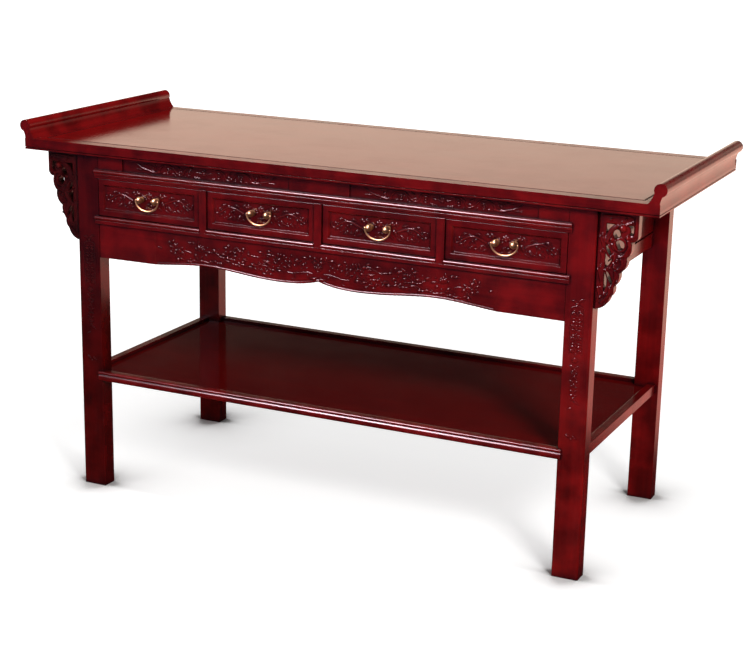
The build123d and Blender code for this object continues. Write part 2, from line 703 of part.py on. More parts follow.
front_wide = opening_wide - 2 * front_reveal
front_low = low_rail_top + front_reveal
front_top = mid_rail_low - front_reveal
front_back_y = face_y + front_thick
field_y = face_y + field_deep
box_wide = opening_wide - 2 * side_play
box_in_wide = box_wide - 2 * side_thick
box_low = low_rail_top + drawer_play
box_top = box_low + side_high
box_end_y = face_y + drawer_long
floor_z = (box_low + drawer_floor_up, box_low + drawer_floor_up + drawer_floor)
back_slot_y = (box_end_y - back_set - side_thick, box_end_y - back_set)
pivot_y = face_y - knob_reach + knob_r
pivot_z = low_rail_top + opening_high / 2 + post_up


def drawer_tails(x, side, mode):
    """Half-blind dovetails that join one drawer side to the front."""
    with BuildSketch(Plane.YZ.offset(x + side * box_wide / 2)) as tails:
        for i in range(tail_count):
            middle = box_low + side_high * (i + 0.5) / tail_count
            root, tip = (tail_high - tail_splay) / 2, tail_high / 2
            with BuildLine():
                Polyline((front_back_y, middle - root), (front_back_y, middle + root),
                         (front_back_y - tail_long, middle + tip),
                         (front_back_y - tail_long, middle - tip), close=True)
            make_face()
    extrude(tails.sketch, amount=-side * side_thick, mode=mode)


def drawer_front(x):
    """Front with a moulded rim round a sunk field, sockets, groove and bolt holes behind."""
    with BuildPart() as front:
        block(about(x, front_wide), (face_y, front_back_y), (front_low, front_top))
        fillet(front.faces().sort_by(Axis.Y)[0].edges(), front_ease)
        with BuildSketch(Plane((x, face_y, (front_low + front_top) / 2), (1, 0, 0), (0, -1, 0))):
            Rectangle(front_wide - 2 * front_rim, front_top - front_low - 2 * front_rim)
        extrude(amount=-field_deep, taper=field_taper, mode=Mode.SUBTRACT)
        for side in (-1, 1):
            drawer_tails(x, side, Mode.SUBTRACT)
            with Locations(Location((x + side * post_apart / 2, face_y + front_thick / 2, pivot_z),
                                    (90, 0, 0))):
                Cylinder(shank_hole_r, 2 * front_thick, mode=Mode.SUBTRACT)
        block(about(x, box_in_wide), (front_back_y - drawer_groove, front_back_y), floor_z,
              Mode.SUBTRACT)
    return front


def drawer_sides(x):
    """The two sides: dovetails at the front, groove for the bottom, slot for the back."""
    with BuildPart() as sides:
        for side in (-1, 1):
            outer, inner = x + side * box_wide / 2, x + side * box_in_wide / 2
            cut = (inner, inner + side * drawer_groove)
            block((inner, outer), (front_back_y, box_end_y), (box_low, box_top))
            drawer_tails(x, side, Mode.ADD)
            block(cut, (front_back_y, box_end_y), floor_z, Mode.SUBTRACT)
            block(cut, back_slot_y, (floor_z[1], box_top), Mode.SUBTRACT)
    return sides


def drawer_back(x):
    """Back board in the slots of the sides, standing on the bottom."""
    with BuildPart() as back:
        block(about(x, box_in_wide + 2 * drawer_groove), back_slot_y, (floor_z[1], box_top))
    return back


def drawer_bottom(x):
    """Bottom board in the grooves of the sides and the front."""
    with BuildPart() as bottom:
        block(about(x, box_in_wide + 2 * drawer_groove), (front_back_y, box_end_y), floor_z)
        block(about(x, box_in_wide), (front_back_y - drawer_groove, front_back_y), floor_z)
    return bottom


def handle_posts(x):
    """Two turned posts bolted through the front, each knob drilled from outside for the bail."""
    with BuildPart() as posts:
        for side in (-1, 1):
            at = x + side * post_apart / 2
            neck_y = pivot_y + (knob_r ** 2 - neck_r ** 2) ** 0.5
            nut_y = front_back_y + nut_thick
            with BuildSketch(Plane((at, 0, pivot_z))):
                with BuildLine():
                    ThreePointArc((0, pivot_y - knob_r), (knob_r, pivot_y), (neck_r, neck_y))
                    Polyline((neck_r, neck_y), (neck_r, field_y - collar_thick),
                             (collar_r, field_y - collar_thick), (collar_r, field_y),
                             (shank_r, field_y), (shank_r, nut_y), (0, nut_y),
                             (0, pivot_y - knob_r))
                make_face()
            revolve(axis=Axis((at, 0, pivot_z), (0, 1, 0)))
            with BuildSketch(Plane((at, nut_y, pivot_z), (1, 0, 0), (0, -1, 0))):
                RegularPolygon(nut_wide / 2, side_count=6, major_radius=False)
            extrude(amount=nut_thick)
            hole = (at + side * knob_r, at + side * (knob_r - pin_in - pin_room))
            with Locations(Location((sum(hole) / 2, pivot_y, pivot_z), (0, 90, 0))):
                Cylinder(pin_r + pin_play, abs(hole[0] - hole[1]), mode=Mode.SUBTRACT)
    return posts


def handle_bail(x):
    """Bail: half an ellipse of wire, thickest at the bottom, with a pin turned in at each end."""
    half = post_apart / 2 + knob_r + bail_gap + bail_end_r
    pivot = Plane((x, pivot_y, pivot_z), (1, 0, 0), (0, -1, 0))
    with BuildPart() as bail:
        with BuildLine(pivot):
            curve = EllipticalCenterArc((0, 0), half, bail_drop - bail_wire_r, degrees(pi),
                                        arc_size=degrees(pi))
        for along, radius in ((0, bail_end_r), (0.5, bail_wire_r), (1, bail_end_r)):
            with BuildSketch(Plane(curve @ along, z_dir=curve % along)):
                Circle(radius)
        sweep(path=curve, multisection=True)
        for side in (-1, 1):
            tip = side * (post_apart / 2 + knob_r - pin_in)
            with Locations((x + side * half, pivot_y, pivot_z)):
                Sphere(bail_end_r)
            with Locations(Location((x + (side * half + tip) / 2, pivot_y, pivot_z), (0, 90, 0))):
                Cylinder(pin_r, abs(side * half - tip))
    return bail


for number, x in enumerate(drawer_x, start=1):
    for make in (drawer_front, drawer_sides, drawer_back, drawer_bottom, handle_posts, handle_bail):
        piece = make.__name__.replace("drawer_", "")
        save(make(x), f"drawer_{number}_{piece}")
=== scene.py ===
"""Finishes, carving and studio for a red lacquered altar table, built round its packed joinery model."""

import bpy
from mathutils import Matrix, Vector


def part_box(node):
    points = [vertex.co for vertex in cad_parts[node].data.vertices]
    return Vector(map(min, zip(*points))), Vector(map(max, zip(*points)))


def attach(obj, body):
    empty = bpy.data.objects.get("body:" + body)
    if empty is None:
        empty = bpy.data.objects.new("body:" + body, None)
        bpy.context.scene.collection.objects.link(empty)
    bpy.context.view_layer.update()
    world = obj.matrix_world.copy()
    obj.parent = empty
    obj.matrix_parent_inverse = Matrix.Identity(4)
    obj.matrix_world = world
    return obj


bl_info = {
    "name": "Altar Table Finish",
    "version": (1, 0, 0),
    "blender": (4, 5, 0),
    "location": "View3D > Sidebar > Altar Table",
    "description": "Red lacquer, raised carving and brass pulls for an altar table",
    "category": "Object",
}

from math import radians

import bpy
import numpy as np
from mathutils import Matrix, Vector

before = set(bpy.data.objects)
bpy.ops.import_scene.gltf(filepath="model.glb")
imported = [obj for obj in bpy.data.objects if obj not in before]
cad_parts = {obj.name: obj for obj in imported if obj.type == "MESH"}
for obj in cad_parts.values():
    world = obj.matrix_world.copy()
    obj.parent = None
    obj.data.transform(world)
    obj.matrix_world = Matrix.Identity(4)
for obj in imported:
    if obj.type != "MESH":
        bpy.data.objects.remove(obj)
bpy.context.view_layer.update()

DRAWERS = (1, 2, 3, 4)
ENDS = ((-1, "left"), (1, "right"))
ALONG_X = ["top_front_rail", "top_back_rail", "frieze_blocks", "mid_rail", "lower_rail", "apron_left",
           "apron_right", "apron_center", "frieze_panel_left", "frieze_panel_right", "back_rail",
           "back_panel", "shelf_front_rail", "shelf_back_rail"]
ALONG_Y = ["top_end_left", "top_end_right", "side_rail_left", "side_rail_right", "side_panel_left",
           "side_panel_right", "shelf_left_rail", "shelf_right_rail"]
ALONG_Z = ["leg_front_right", "leg_back_left", "leg_back_right", "drawer_dividers", "bracket_right"]
# painted shade: the front left leg and its bracket take a darker copy of the lacquer
DARK_Z = ["leg_front_left", "bracket_left"]
UNSEEN = ["top_battens", "shelf_battens", "drawer_bearers", "drawer_guides", "drawer_kickers"]
FLAT = ["top_panel", "top_front_rail", "top_back_rail", "top_end_left", "top_end_right", "shelf_panel"]
# painted shade: their carving takes the darker copy too
DARK_CARVING = ["bracket_carving_left", "leg_carving_left"]

# where carving is laid, in metres: its face along Y, how far out from the middle, and how high
FIELD_FACE = -0.281
APRON_FACE, APRON_LINE = -0.284, 0.6
LEG_FACE, LEG_OUT, LEG_UP = -0.286, 0.5895, 0.451
BRACKET_FACE, BRACKET_OUT, BRACKET_UP = -0.276, 0.62, 0.795
TOP_SEAM = (0.7095, 0.2685)     # half the length and width of the top's floating panel
CORNER_SHADE = (0.018, 0.0014, 0.003)    # painted shade: the dark colour laid in corners and on the ground of carving


# ---- nodes ----

def add(tree, kind, inputs=(), **settings):
    """Adds a node. inputs maps a socket's name or number to a value, or to the socket that feeds it."""
    made = tree.nodes.new(kind)
    for name, value in settings.items():
        setattr(made, name, value)
    for socket, value in dict(inputs).items():
        if isinstance(value, bpy.types.NodeSocket):
            tree.links.new(value, made.inputs[socket])
        else:
            made.inputs[socket].default_value = value
    return made


def maths(tree, operation, first, second=0.0, clamp=False):
    """One sum on two numbers or sockets."""
    return add(tree, "ShaderNodeMath", {0: first, 1: second}, operation=operation,
               use_clamp=clamp).outputs[0]


def mix(tree, factor, first, second):
    """Colour between first and second by factor."""
    return add(tree, "ShaderNodeMix", {0: factor, 6: first, 7: second}, data_type="RGBA").outputs[2]


def times(tree, first, second):
    """A product of two numbers or sockets."""
    return maths(tree, "MULTIPLY", first, second)


def glaze(tree, under, mask, share, over):
    """Lays a colour over another, share of it where mask is 1."""
    return mix(tree, times(tree, mask, share), under, (*over, 1))


def raised(tree, value, mask, share):
    """Value plus share of mask."""
    return maths(tree, "ADD", value, times(tree, mask, share))


def ramp(tree, value, low, high, to_low=0.0, to_high=1.0):
    """Value carried from low..high to to_low..to_high, and held at its ends."""
    return add(tree, "ShaderNodeMapRange", {0: value, 1: low, 2: high, 3: to_low, 4: to_high},
               interpolation_type="SMOOTHSTEP").outputs[0]


def noise(tree, place, scale, detail, roughness=0.5, distortion=0.0):
    """Cloudy noise, 0 to 1."""
    return add(tree, "ShaderNodeTexNoise", {"Vector": place, "Scale": scale, "Detail": detail,
                                            "Roughness": roughness, "Distortion": distortion}).outputs[0]


def group_of(name, takes, gives):
    """New node group and its input sockets. takes and gives map each label to its default: a number, or
    three of them for a vector."""
    made = bpy.data.node_groups.new(name, "ShaderNodeTree")
    for sockets, way in ((takes, "INPUT"), (gives, "OUTPUT")):
        for label, value in sockets.items():
            kind = "NodeSocketVector" if isinstance(value, tuple) else "NodeSocketFloat"
            made.interface.new_socket(label, in_out=way, socket_type=kind).default_value = value
    return made, made.nodes.new("NodeGroupInput").outputs


def grain_group():
    """Wood grain under lacquer: noise squeezed across the wood, so its spots are drawn out along it."""
    group, given = group_of("wood_grain", {"Vector": (0, 0, 0), "Stretch": (1, 1, 1)},
                            {"Streaks": 0.0, "Pores": 0.0})
    place = add(group, "ShaderNodeVectorMath", {0: given[0], 1: given[1]}, operation="MULTIPLY").outputs[0]
    streaks = ramp(group, noise(group, place, 1.0, 4.0, 0.6, 0.4), 0.3, 0.7)
    pores = ramp(group, noise(group, place, 6.0, 2.0), 0.35, 0.55)
    add(group, "NodeGroupOutput", {0: streaks, 1: pores})
    return group


def sheen_and_wear_group():
    """Eased and rubbed edges: how far the surface turns within a radius, the same broken up by patches of
    use, and the normal turned round the edge. An edge is full where the normal turns by Turn, which is 1
    less the cosine of the angle."""
    group, given = group_of("edge_sheen_and_wear", {"Vector": (0, 0, 0), "Radius": 0.003, "Turn": 0.1},
                            {"Edge": 0.0, "Rubbed": 0.0, "Eased": (0, 0, 0)})
    eased = add(group, "ShaderNodeBevel", {"Radius": given[1]}, samples=6).outputs[0]
    facing = add(group, "ShaderNodeNewGeometry").outputs["Normal"]
    same = add(group, "ShaderNodeVectorMath", {0: eased, 1: facing},
               operation="DOT_PRODUCT").outputs["Value"]
    edge = maths(group, "DIVIDE", maths(group, "SUBTRACT", 1.0, same), given[2], clamp=True)
    patches = ramp(group, noise(group, given[0], 22.0, 5.0, 0.65), 0.48, 0.62)
    add(group, "NodeGroupOutput", {0: edge, 1: times(group, edge, patches), 2: eased})
    return group


def crevice_group():
    """Darkness in corners: how little open space there is within reach. The lacquer takes it as painted
    shade, the brass as tarnish in its hollows and the bare wood as darker corners. Darkest is the open
    share at which a corner is fully dark."""
    group, given = group_of("crevice", {"Reach": 0.01, "Darkest": 0.35}, {"Depth": 0.0})
    open_space = add(group, "ShaderNodeAmbientOcclusion", {"Distance": given[0]}, samples=6).outputs["AO"]
    add(group, "NodeGroupOutput", {0: ramp(group, open_space, given[1], 0.97, 1.0, 0.0)})
    return group


def polish_group():
    """Hand polish: wide soft waves in the film, and finer dulled patches."""
    group, given = group_of("polish", {"Vector": (0, 0, 0)}, {"Waves": 0.0, "Dull": 0.0})
    dull = ramp(group, noise(group, given[0], 9.0, 7.0, 0.7), 0.38, 0.68)
    add(group, "NodeGroupOutput", {0: noise(group, given[0], 38.0, 2.0), 1: dull})
    return group


def place_group(tree, name, inputs):
    """The outputs of a shared group placed in a material. The group is made the first time."""
    makers = {"wood_grain": grain_group, "edge_sheen_and_wear": sheen_and_wear_group, "crevice": crevice_group,
              "polish": polish_group}
    shared = bpy.data.node_groups.get(name) or makers[name]()
    return add(tree, "ShaderNodeGroup", inputs, node_tree=shared).outputs


def empty_tree(owner):
    """The emptied node tree of a new material or world."""
    owner.use_nodes = True
    owner.node_tree.nodes.clear()
    return owner.node_tree


def begin(name):
    """New material, its emptied tree, and the place on the piece that its patterns read."""
    made = bpy.data.materials.new(name)
    tree = empty_tree(made)
    return made, tree, add(tree, "ShaderNodeTexCoord").outputs["Object"]


def surface(tree, colour, rough, bump, **plain):
    """Ends a material: a bump, given by its inputs, on one Principled surface with plain constants."""
    normal = add(tree, "ShaderNodeBump", bump).outputs[0]
    shader = add(tree, "ShaderNodeBsdfPrincipled",
                 {"Base Color": colour, "Roughness": rough, "Normal": normal, **plain})
    add(tree, "ShaderNodeOutputMaterial", {"Surface": shader.outputs[0]})


# ---- carving ----

class Board:
    """A flat board to carve. Heights in millimetres above its face, on a grid of u across and v up.
    Uncarved wood is held a little below the face, so a carved edge meets the face in a clean line."""

    SUNK = -0.7     # height of uncarved wood
    FALL = 1.2      # how steeply a ridge falls away outside its width
    VEIN = 0.06     # half width of a vein's groove, squared, as a share of the ridge's
    NOTCH = 0.38    # depth of a barb's notch

    def __init__(self, low, high, step):
        self.u, self.v = (np.linspace(a, b, round((b - a) / step) + 1) for a, b in zip(low, high))
        self.step = step
        self.height = np.full((len(self.v), len(self.u)), self.SUNK)

    def ridge(self, line, width, height, vein=0.0, barbs=0):
        """Rounded ridge along a line of points. Over any point of the board it stands
        height * sqrt(1 - (distance / width)^2), taken at whichever point of the line is nearest for its
        width. vein sinks a groove along the middle; barbs is how many slanting notches cross it."""
        line = np.atleast_2d(np.asarray(line, float))
        width, height = (np.broadcast_to(np.asarray(size, float), len(line)) for size in (width, height))
        reach = width.max() + 2 * self.step
        across, up = (slice(*np.searchsorted(axis, (places.min() - reach, places.max() + reach)))
                      for axis, places in zip((self.u, self.v), line.T))
        gu, gv = np.meshgrid(self.u[across], self.v[up])
        if not gu.size:
            raise RuntimeError("a ridge lies off its board")
        square = ((gu[..., None] - line[:, 0]) ** 2 + (gv[..., None] - line[:, 1]) ** 2) / width ** 2
        nearest = square.argmin(-1)
        apart = np.take_along_axis(square, nearest[..., None], -1)[..., 0]
        top = height[nearest]
        dome = np.where(apart < 1, top * np.sqrt(np.clip(1 - apart, 0, 1)),
                        -self.FALL * (np.sqrt(apart) - 1) * top)
        if vein:
            dome *= 1 - vein * np.exp(-apart / self.VEIN)
        if barbs:
            along = nearest / max(len(line) - 1, 1)
            notch = 0.5 - 0.5 * np.cos(2 * np.pi * (barbs * along + 0.9 * np.sqrt(apart)))
            dome *= np.where(apart < 1, 1 - self.NOTCH * notch, 1)
        self.height[up, across] = np.maximum(self.height[up, across], dome)

    def mirror(self):
        """Repeats the carving of one half on the other."""
        self.height = np.maximum(self.height, self.height[:, ::-1])


def through(points, count):
    """Smooth line through points: between two points it is the cubic that leaves and enters each
    parallel to the line joining that point's neighbours."""
    p = np.asarray(points, float)
    held = np.vstack([2 * p[0] - p[1], p, 2 * p[-1] - p[-2]])
    t = np.linspace(0, len(p) - 1, count)
    i = np.minimum(t.astype(int), len(p) - 2)
    f = (t - i)[:, None]
    a, b, c, d = (held[i + k] for k in range(4))
    return 0.5 * (2 * b + (c - a) * f + (2 * a - 5 * b + 4 * c - d) * f ** 2
                  + (3 * b - a - 3 * c + d) * f ** 3)


def leaf(board, base, tip, bend, width, height, vein=0.45, barbs=0):
    """Leaf from base to tip, its middle pushed sideways by bend. Its half width swells as the sine of a
    half turn, early along it, and its height falls towards both ends."""
    base, tip = np.asarray(base, float), np.asarray(tip, float)
    run = tip - base
    side = np.array([-run[1], run[0]]) / (np.hypot(*run) + 1e-9)
    t = np.linspace(0, 1, 22)
    line = base + run * t[:, None] + side * (bend * np.sin(np.pi * t))[:, None]
    swell = np.sin(np.pi * t ** 0.8)
    board.ridge(line, width * (0.16 + 0.84 * np.clip(swell, 0, 1) ** 0.8),
                height * (0.35 + 0.65 * np.clip(swell, 0, 1)), vein, barbs)


def leaves(board, table, share, **cut):
    """Leaves with their base, tip, bend and half width in a table, share of the half width high."""
    for *line, bend, width in table:
        leaf(board, line[:2], line[2:], bend, width, share * width, **cut)


def own_leaves(board, table):
    """Leaves with their own height and number of barbs at the end of the table's rows."""
    for *line, bend, width, height, barbs in table:
        leaf(board, line[:2], line[2:], bend, width, height, barbs=barbs)


def scroll(board, centre, radius, start, turns, width, height):
    """Spiral that winds in from radius to a fifth of it over some turns, ending in a round knob."""
    t = np.linspace(0, 1, 34)
    angle = radians(start) + 2 * np.pi * turns * t
    out = radius * (1 - 0.8 * t)
    line = np.asarray(centre) + out[:, None] * np.stack([np.cos(angle), np.sin(angle)], axis=1)
    board.ridge(line, width * (1 - 0.35 * t), height)
    knob(board, line[-1], 1.25 * width, height * 1.15)


def knob(board, at, radius, height):
    """Round boss: half an ellipsoid."""
    board.ridge([at], radius, height)


def knobs(board, table, share, low=0.0):
    """Bosses with their place and radius in a table, low and share of the radius high."""
    for u, v, radius in table:
        knob(board, (u, v), radius, low + share * radius)


def flower(board, centre, radius, petals, height):
    """Round boss with petals set evenly about it."""
    for angle in 2 * np.pi * np.arange(petals) / petals:
        way = np.array([np.cos(angle), np.sin(angle)])
        leaf(board, np.asarray(centre) + 0.28 * radius * way, np.asarray(centre) + radius * way, 0,
             2.1 * radius / petals, height, vein=0.35)
    knob(board, centre, 0.26 * radius, height * 1.2)


def fan(board, base, reach, heading, spread, count, width, height):
    """Leaves fanned from one base, the middle ones longest."""
    for share in np.linspace(-1, 1, count):
        angle = radians(heading + spread * share)
        far = reach * (1 - 0.3 * share ** 2)
        leaf(board, base, np.asarray(base) + far * np.array([np.cos(angle), np.sin(angle)]), -1.6 * share,
             width, height, vein=0.4)


def shells(name, board, corner, body="frame"):
    """Closed shells where the board stands above its face. corner is where u = v = 0 lies on the face;
    the face looks to -Y. Only cells with a proud corner are kept, with a copy of them laid flat 1 mm
    inside the wood and a wall along their outline. Where two kept cells meet at a corner alone, their
    neighbours are kept too."""
    height = board.height
    proud = height > 0.0
    cell = proud[:-1, :-1] | proud[1:, :-1] | proud[:-1, 1:] | proud[1:, 1:]
    for _ in range(4):
        a, b, c, d = cell[:-1, :-1], cell[:-1, 1:], cell[1:, :-1], cell[1:, 1:]
        cross = (a & d & ~b & ~c) | (b & c & ~a & ~d)
        for part in (a, b, c, d):
            part |= cross
    below = height.size
    number = np.arange(below).reshape(height.shape)
    r, c = np.nonzero(cell)

    def corners(dr, dc, keep=slice(None)):
        return number[r[keep] + dr, c[keep] + dc]

    top = np.stack([corners(0, 0), corners(0, 1), corners(1, 1), corners(1, 0)], axis=1)
    faces = [top, top[:, ::-1] + below]
    framed = np.pad(cell, 1)
    for (dr, dc), (start, stop) in (((-1, 0), ((0, 0), (0, 1))), ((0, 1), ((0, 1), (1, 1))),
                                    ((1, 0), ((1, 1), (1, 0))), ((0, -1), ((1, 0), (0, 0)))):
        free = ~framed[r + 1 + dr, c + 1 + dc]
        first, last = corners(*start, free), corners(*stop, free)
        faces.append(np.stack([last, first, first + below, last + below], axis=1))
    faces = np.concatenate(faces)
    gu, gv = np.meshgrid(board.u, board.v)
    points = np.concatenate([np.stack([gu, depth, gv], axis=-1).reshape(-1, 3)
                             for depth in (-height, np.ones_like(gu))])
    relief = np.concatenate([np.clip(height / height.max(), 0, 1).ravel(), np.zeros(below)])
    used, faces = np.unique(faces, return_inverse=True)
    mesh_piece(name, points[used] / 1000 + corner, faces.reshape(-1, 4), relief[used], body)


def placed(name, data):
    """New object in the scene, at the origin."""
    made = bpy.data.objects.new(name, data)
    bpy.context.collection.objects.link(made)
    return made


def mesh_piece(name, points, faces, relief, body):
    """Smooth carved object of four-cornered faces, riding on a body. relief is how high each point
    stands, 0 to 1."""
    mesh = bpy.data.meshes.new(name)
    mesh.vertices.add(len(points))
    mesh.vertices.foreach_set("co", np.asarray(points, np.float32).ravel())
    mesh.loops.add(faces.size)
    mesh.loops.foreach_set("vertex_index", faces.astype(np.int32).ravel())
    mesh.polygons.add(len(faces))
    mesh.polygons.foreach_set("loop_start", np.arange(0, faces.size, 4, dtype=np.int32))
    mesh.polygons.foreach_set("use_smooth", np.ones(len(faces), bool))
    mesh.update(calc_edges=True)
    if mesh.validate():
        raise RuntimeError(f"{name} has faulty faces")
    mesh.attributes.new("relief", "FLOAT", "POINT").data.foreach_set("value", relief.astype(np.float32))
    finish = "lacquer_dark_carved" if name in DARK_CARVING else "lacquer_carved"
    mesh.materials.append(bpy.data.materials[finish])
    made = placed(name, mesh)
    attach(made, body)


# The tables hold one half of a board, in millimetres right of and above its middle, the leg's all of it. A
# leaf is its base, its tip, its bend and its half width; a knob is its place and its radius.

DRAWER_STEM = [
    (43, 0.5), (55, 6), (66, 10), (77, 10.5), (88, 6), (98, -0.5), (105.5, -5), (111, -3.6),
    (112.6, 1.2), (111.6, 5.4)]
DRAWER_LEAVES = [
    (83, 14.8, 100, 10, 2.4, 2.5), (52, 12.5, 68, 16.2, 1.8, 2.4),
    (67, 10.5, 83, 15, -1.4, 1.7), (33, 5, 38.5, -10.5, 1.6, 3), (51, -4.5, 62, -14.5, -1.8, 2.5),
    (64, 7, 68, -4.5, 1.6, 2.2), (73, -8.8, 85, -17, -1.8, 2.3), (88, 1.5, 92.5, -10, 1.2, 1.9),
    (62, -14, 71, -18, 1.2, 1.8), (41, -12.5, 53, -18, -1.4, 2), (96, -6.5, 104, -13, 1.4, 1.7),
    (99, 0.8, 106, 7.5, 1.4, 1.6), (24.5, -9, 34, -16.5, -1.4, 1.9)]
DRAWER_KNOBS = [
    (45.5, -7, 2), (44, -13.6, 1.5), (74, 1.5, 2.2), (79, -4.2, 1.7), (66, -9.5, 1.7),
    (84.5, -10.6, 1.5), (57.5, -18, 1.3), (97.5, 5.8, 1.3), (49.5, 5.2, 1.3), (91.5, -13.6, 1.3)]

# from here on a leaf has its height and its number of barbs too
DRAWER_MIDDLE = [(7, 9.5, 18.5, 15.8, -2, 2.4, 2.8, 3), (6.5, 7, 10.5, -0.8, 1.4, 1.8, 2.2, 0),
    (2.2, -6.5, 9.5, -10.5, 1.6, 2.3, 2.5, 0), (0, -5.5, 0, -13, 0, 2, 2.4, 0),
    (5.5, -14, 17.5, -17.2, -1.7, 2.1, 2.5, 3)]


def carved_drawer_board():
    """Scrolling stem with leaves, drops and berries either side of the pull, a flower above it."""
    board = Board((-114.6, -24.6), (114.6, 24.6), 0.78)
    board.ridge(through(DRAWER_STEM, 60), np.linspace(2.5, 1.5, 60), np.linspace(3.2, 2.4, 60), vein=0.3)
    leaves(board, DRAWER_LEAVES, 1.45, barbs=3)
    knobs(board, DRAWER_KNOBS, 1.5)
    fan(board, (34.5, 15), 12.5, 165, 46, 3, 2.5, 2.9)
    fan(board, (35, 15.5), 12, 12, 42, 3, 2.3, 2.9)
    knob(board, (34.8, 15.4), 1.9, 3.2)
    fan(board, (0, 9.5), 12.5, 90, 74, 5, 2.7, 3.0)
    knob(board, (0, 9.2), 2.6, 3.4)
    knob(board, (0, -4.6), 2.1, 2.7)
    own_leaves(board, DRAWER_MIDDLE)
    board.mirror()
    return board


FRIEZE_STEM = [(30, 7), (40, 9.5), (49, 3), (53, -6), (62, -9.5), (73, -4), (82, 5), (93, 9.5), (106, 7),
    (114, 0), (118, -7)]
FRIEZE_TAIL = [(116, -8.5), (130, -10), (146, -6), (160, -2), (171, 3.2), (175.5, 8.2)]
FRIEZE_LEAVES = [
    (120, 8.8, 152, 4.6, 3, 2.7, 2.5, 5), (150, -3, 178, -4.8, -2.4, 2.3, 2.2, 4),
    (56, -2, 73, -11, 2, 2.6, 2.4, 4), (58, 3, 72, 11.5, -1.8, 2.5, 2.4, 4),
    (99, -10, 112, -12, 1.2, 2.1, 2.1, 3), (80, -6.5, 72, -12.2, 1.2, 1.8, 2, 0),
    (24, 9, 9, 11.5, -1.2, 2.4, 2.3, 4), (28, -9, 10, -11.5, 1.8, 2.6, 2.4, 4),
    (22, 1.5, 7, 0, 1.6, 2.4, 2.2, 3)]
FRIEZE_RINGS = [(131, 0.5, 6.6), (93, -3.4, 5.6), (37, -2.2, 6)]
FRIEZE_KNOBS = [(79, 11.8, 1.7), (49, 11.5, 1.5), (86, 1, 1.5), (48, -11.6, 1.8), (115, 11.2, 1.5),
    (141, -11.6, 1.3), (157, 6.4, 1.5)]


def ring(board, u, v, radius, high, width, height, count, vein=0.0):
    """Rounded ring: a ridge along an ellipse of two half widths, radius across and high up."""
    turn = np.linspace(0, 2 * np.pi, count)
    board.ridge(np.stack([u + radius * np.cos(turn), v + high * np.sin(turn)], axis=1), width, height, vein)


def carved_frieze_board():
    """Two linked scrolls each side of the middle, ringed knobs in them and long leaves at the ends."""
    board = Board((-182, -15.4), (182, 15.4), 0.8)
    board.ridge(through(FRIEZE_STEM, 70), 2.0, 2.1, vein=0.3)
    board.ridge(through(FRIEZE_TAIL, 40), np.linspace(2.8, 1.2, 40), np.linspace(2.6, 1.6, 40), vein=0.5)
    own_leaves(board, FRIEZE_LEAVES)
    for u, v, radius in FRIEZE_RINGS:
        ring(board, u, v, radius, radius, 1.5, 1.9, count=40)
        knob(board, (u, v), 0.46 * radius, 2.6)
    knobs(board, FRIEZE_KNOBS, 1.3)
    flower(board, (0, 0), 7.5, 8, 2.3)
    board.mirror()
    return board


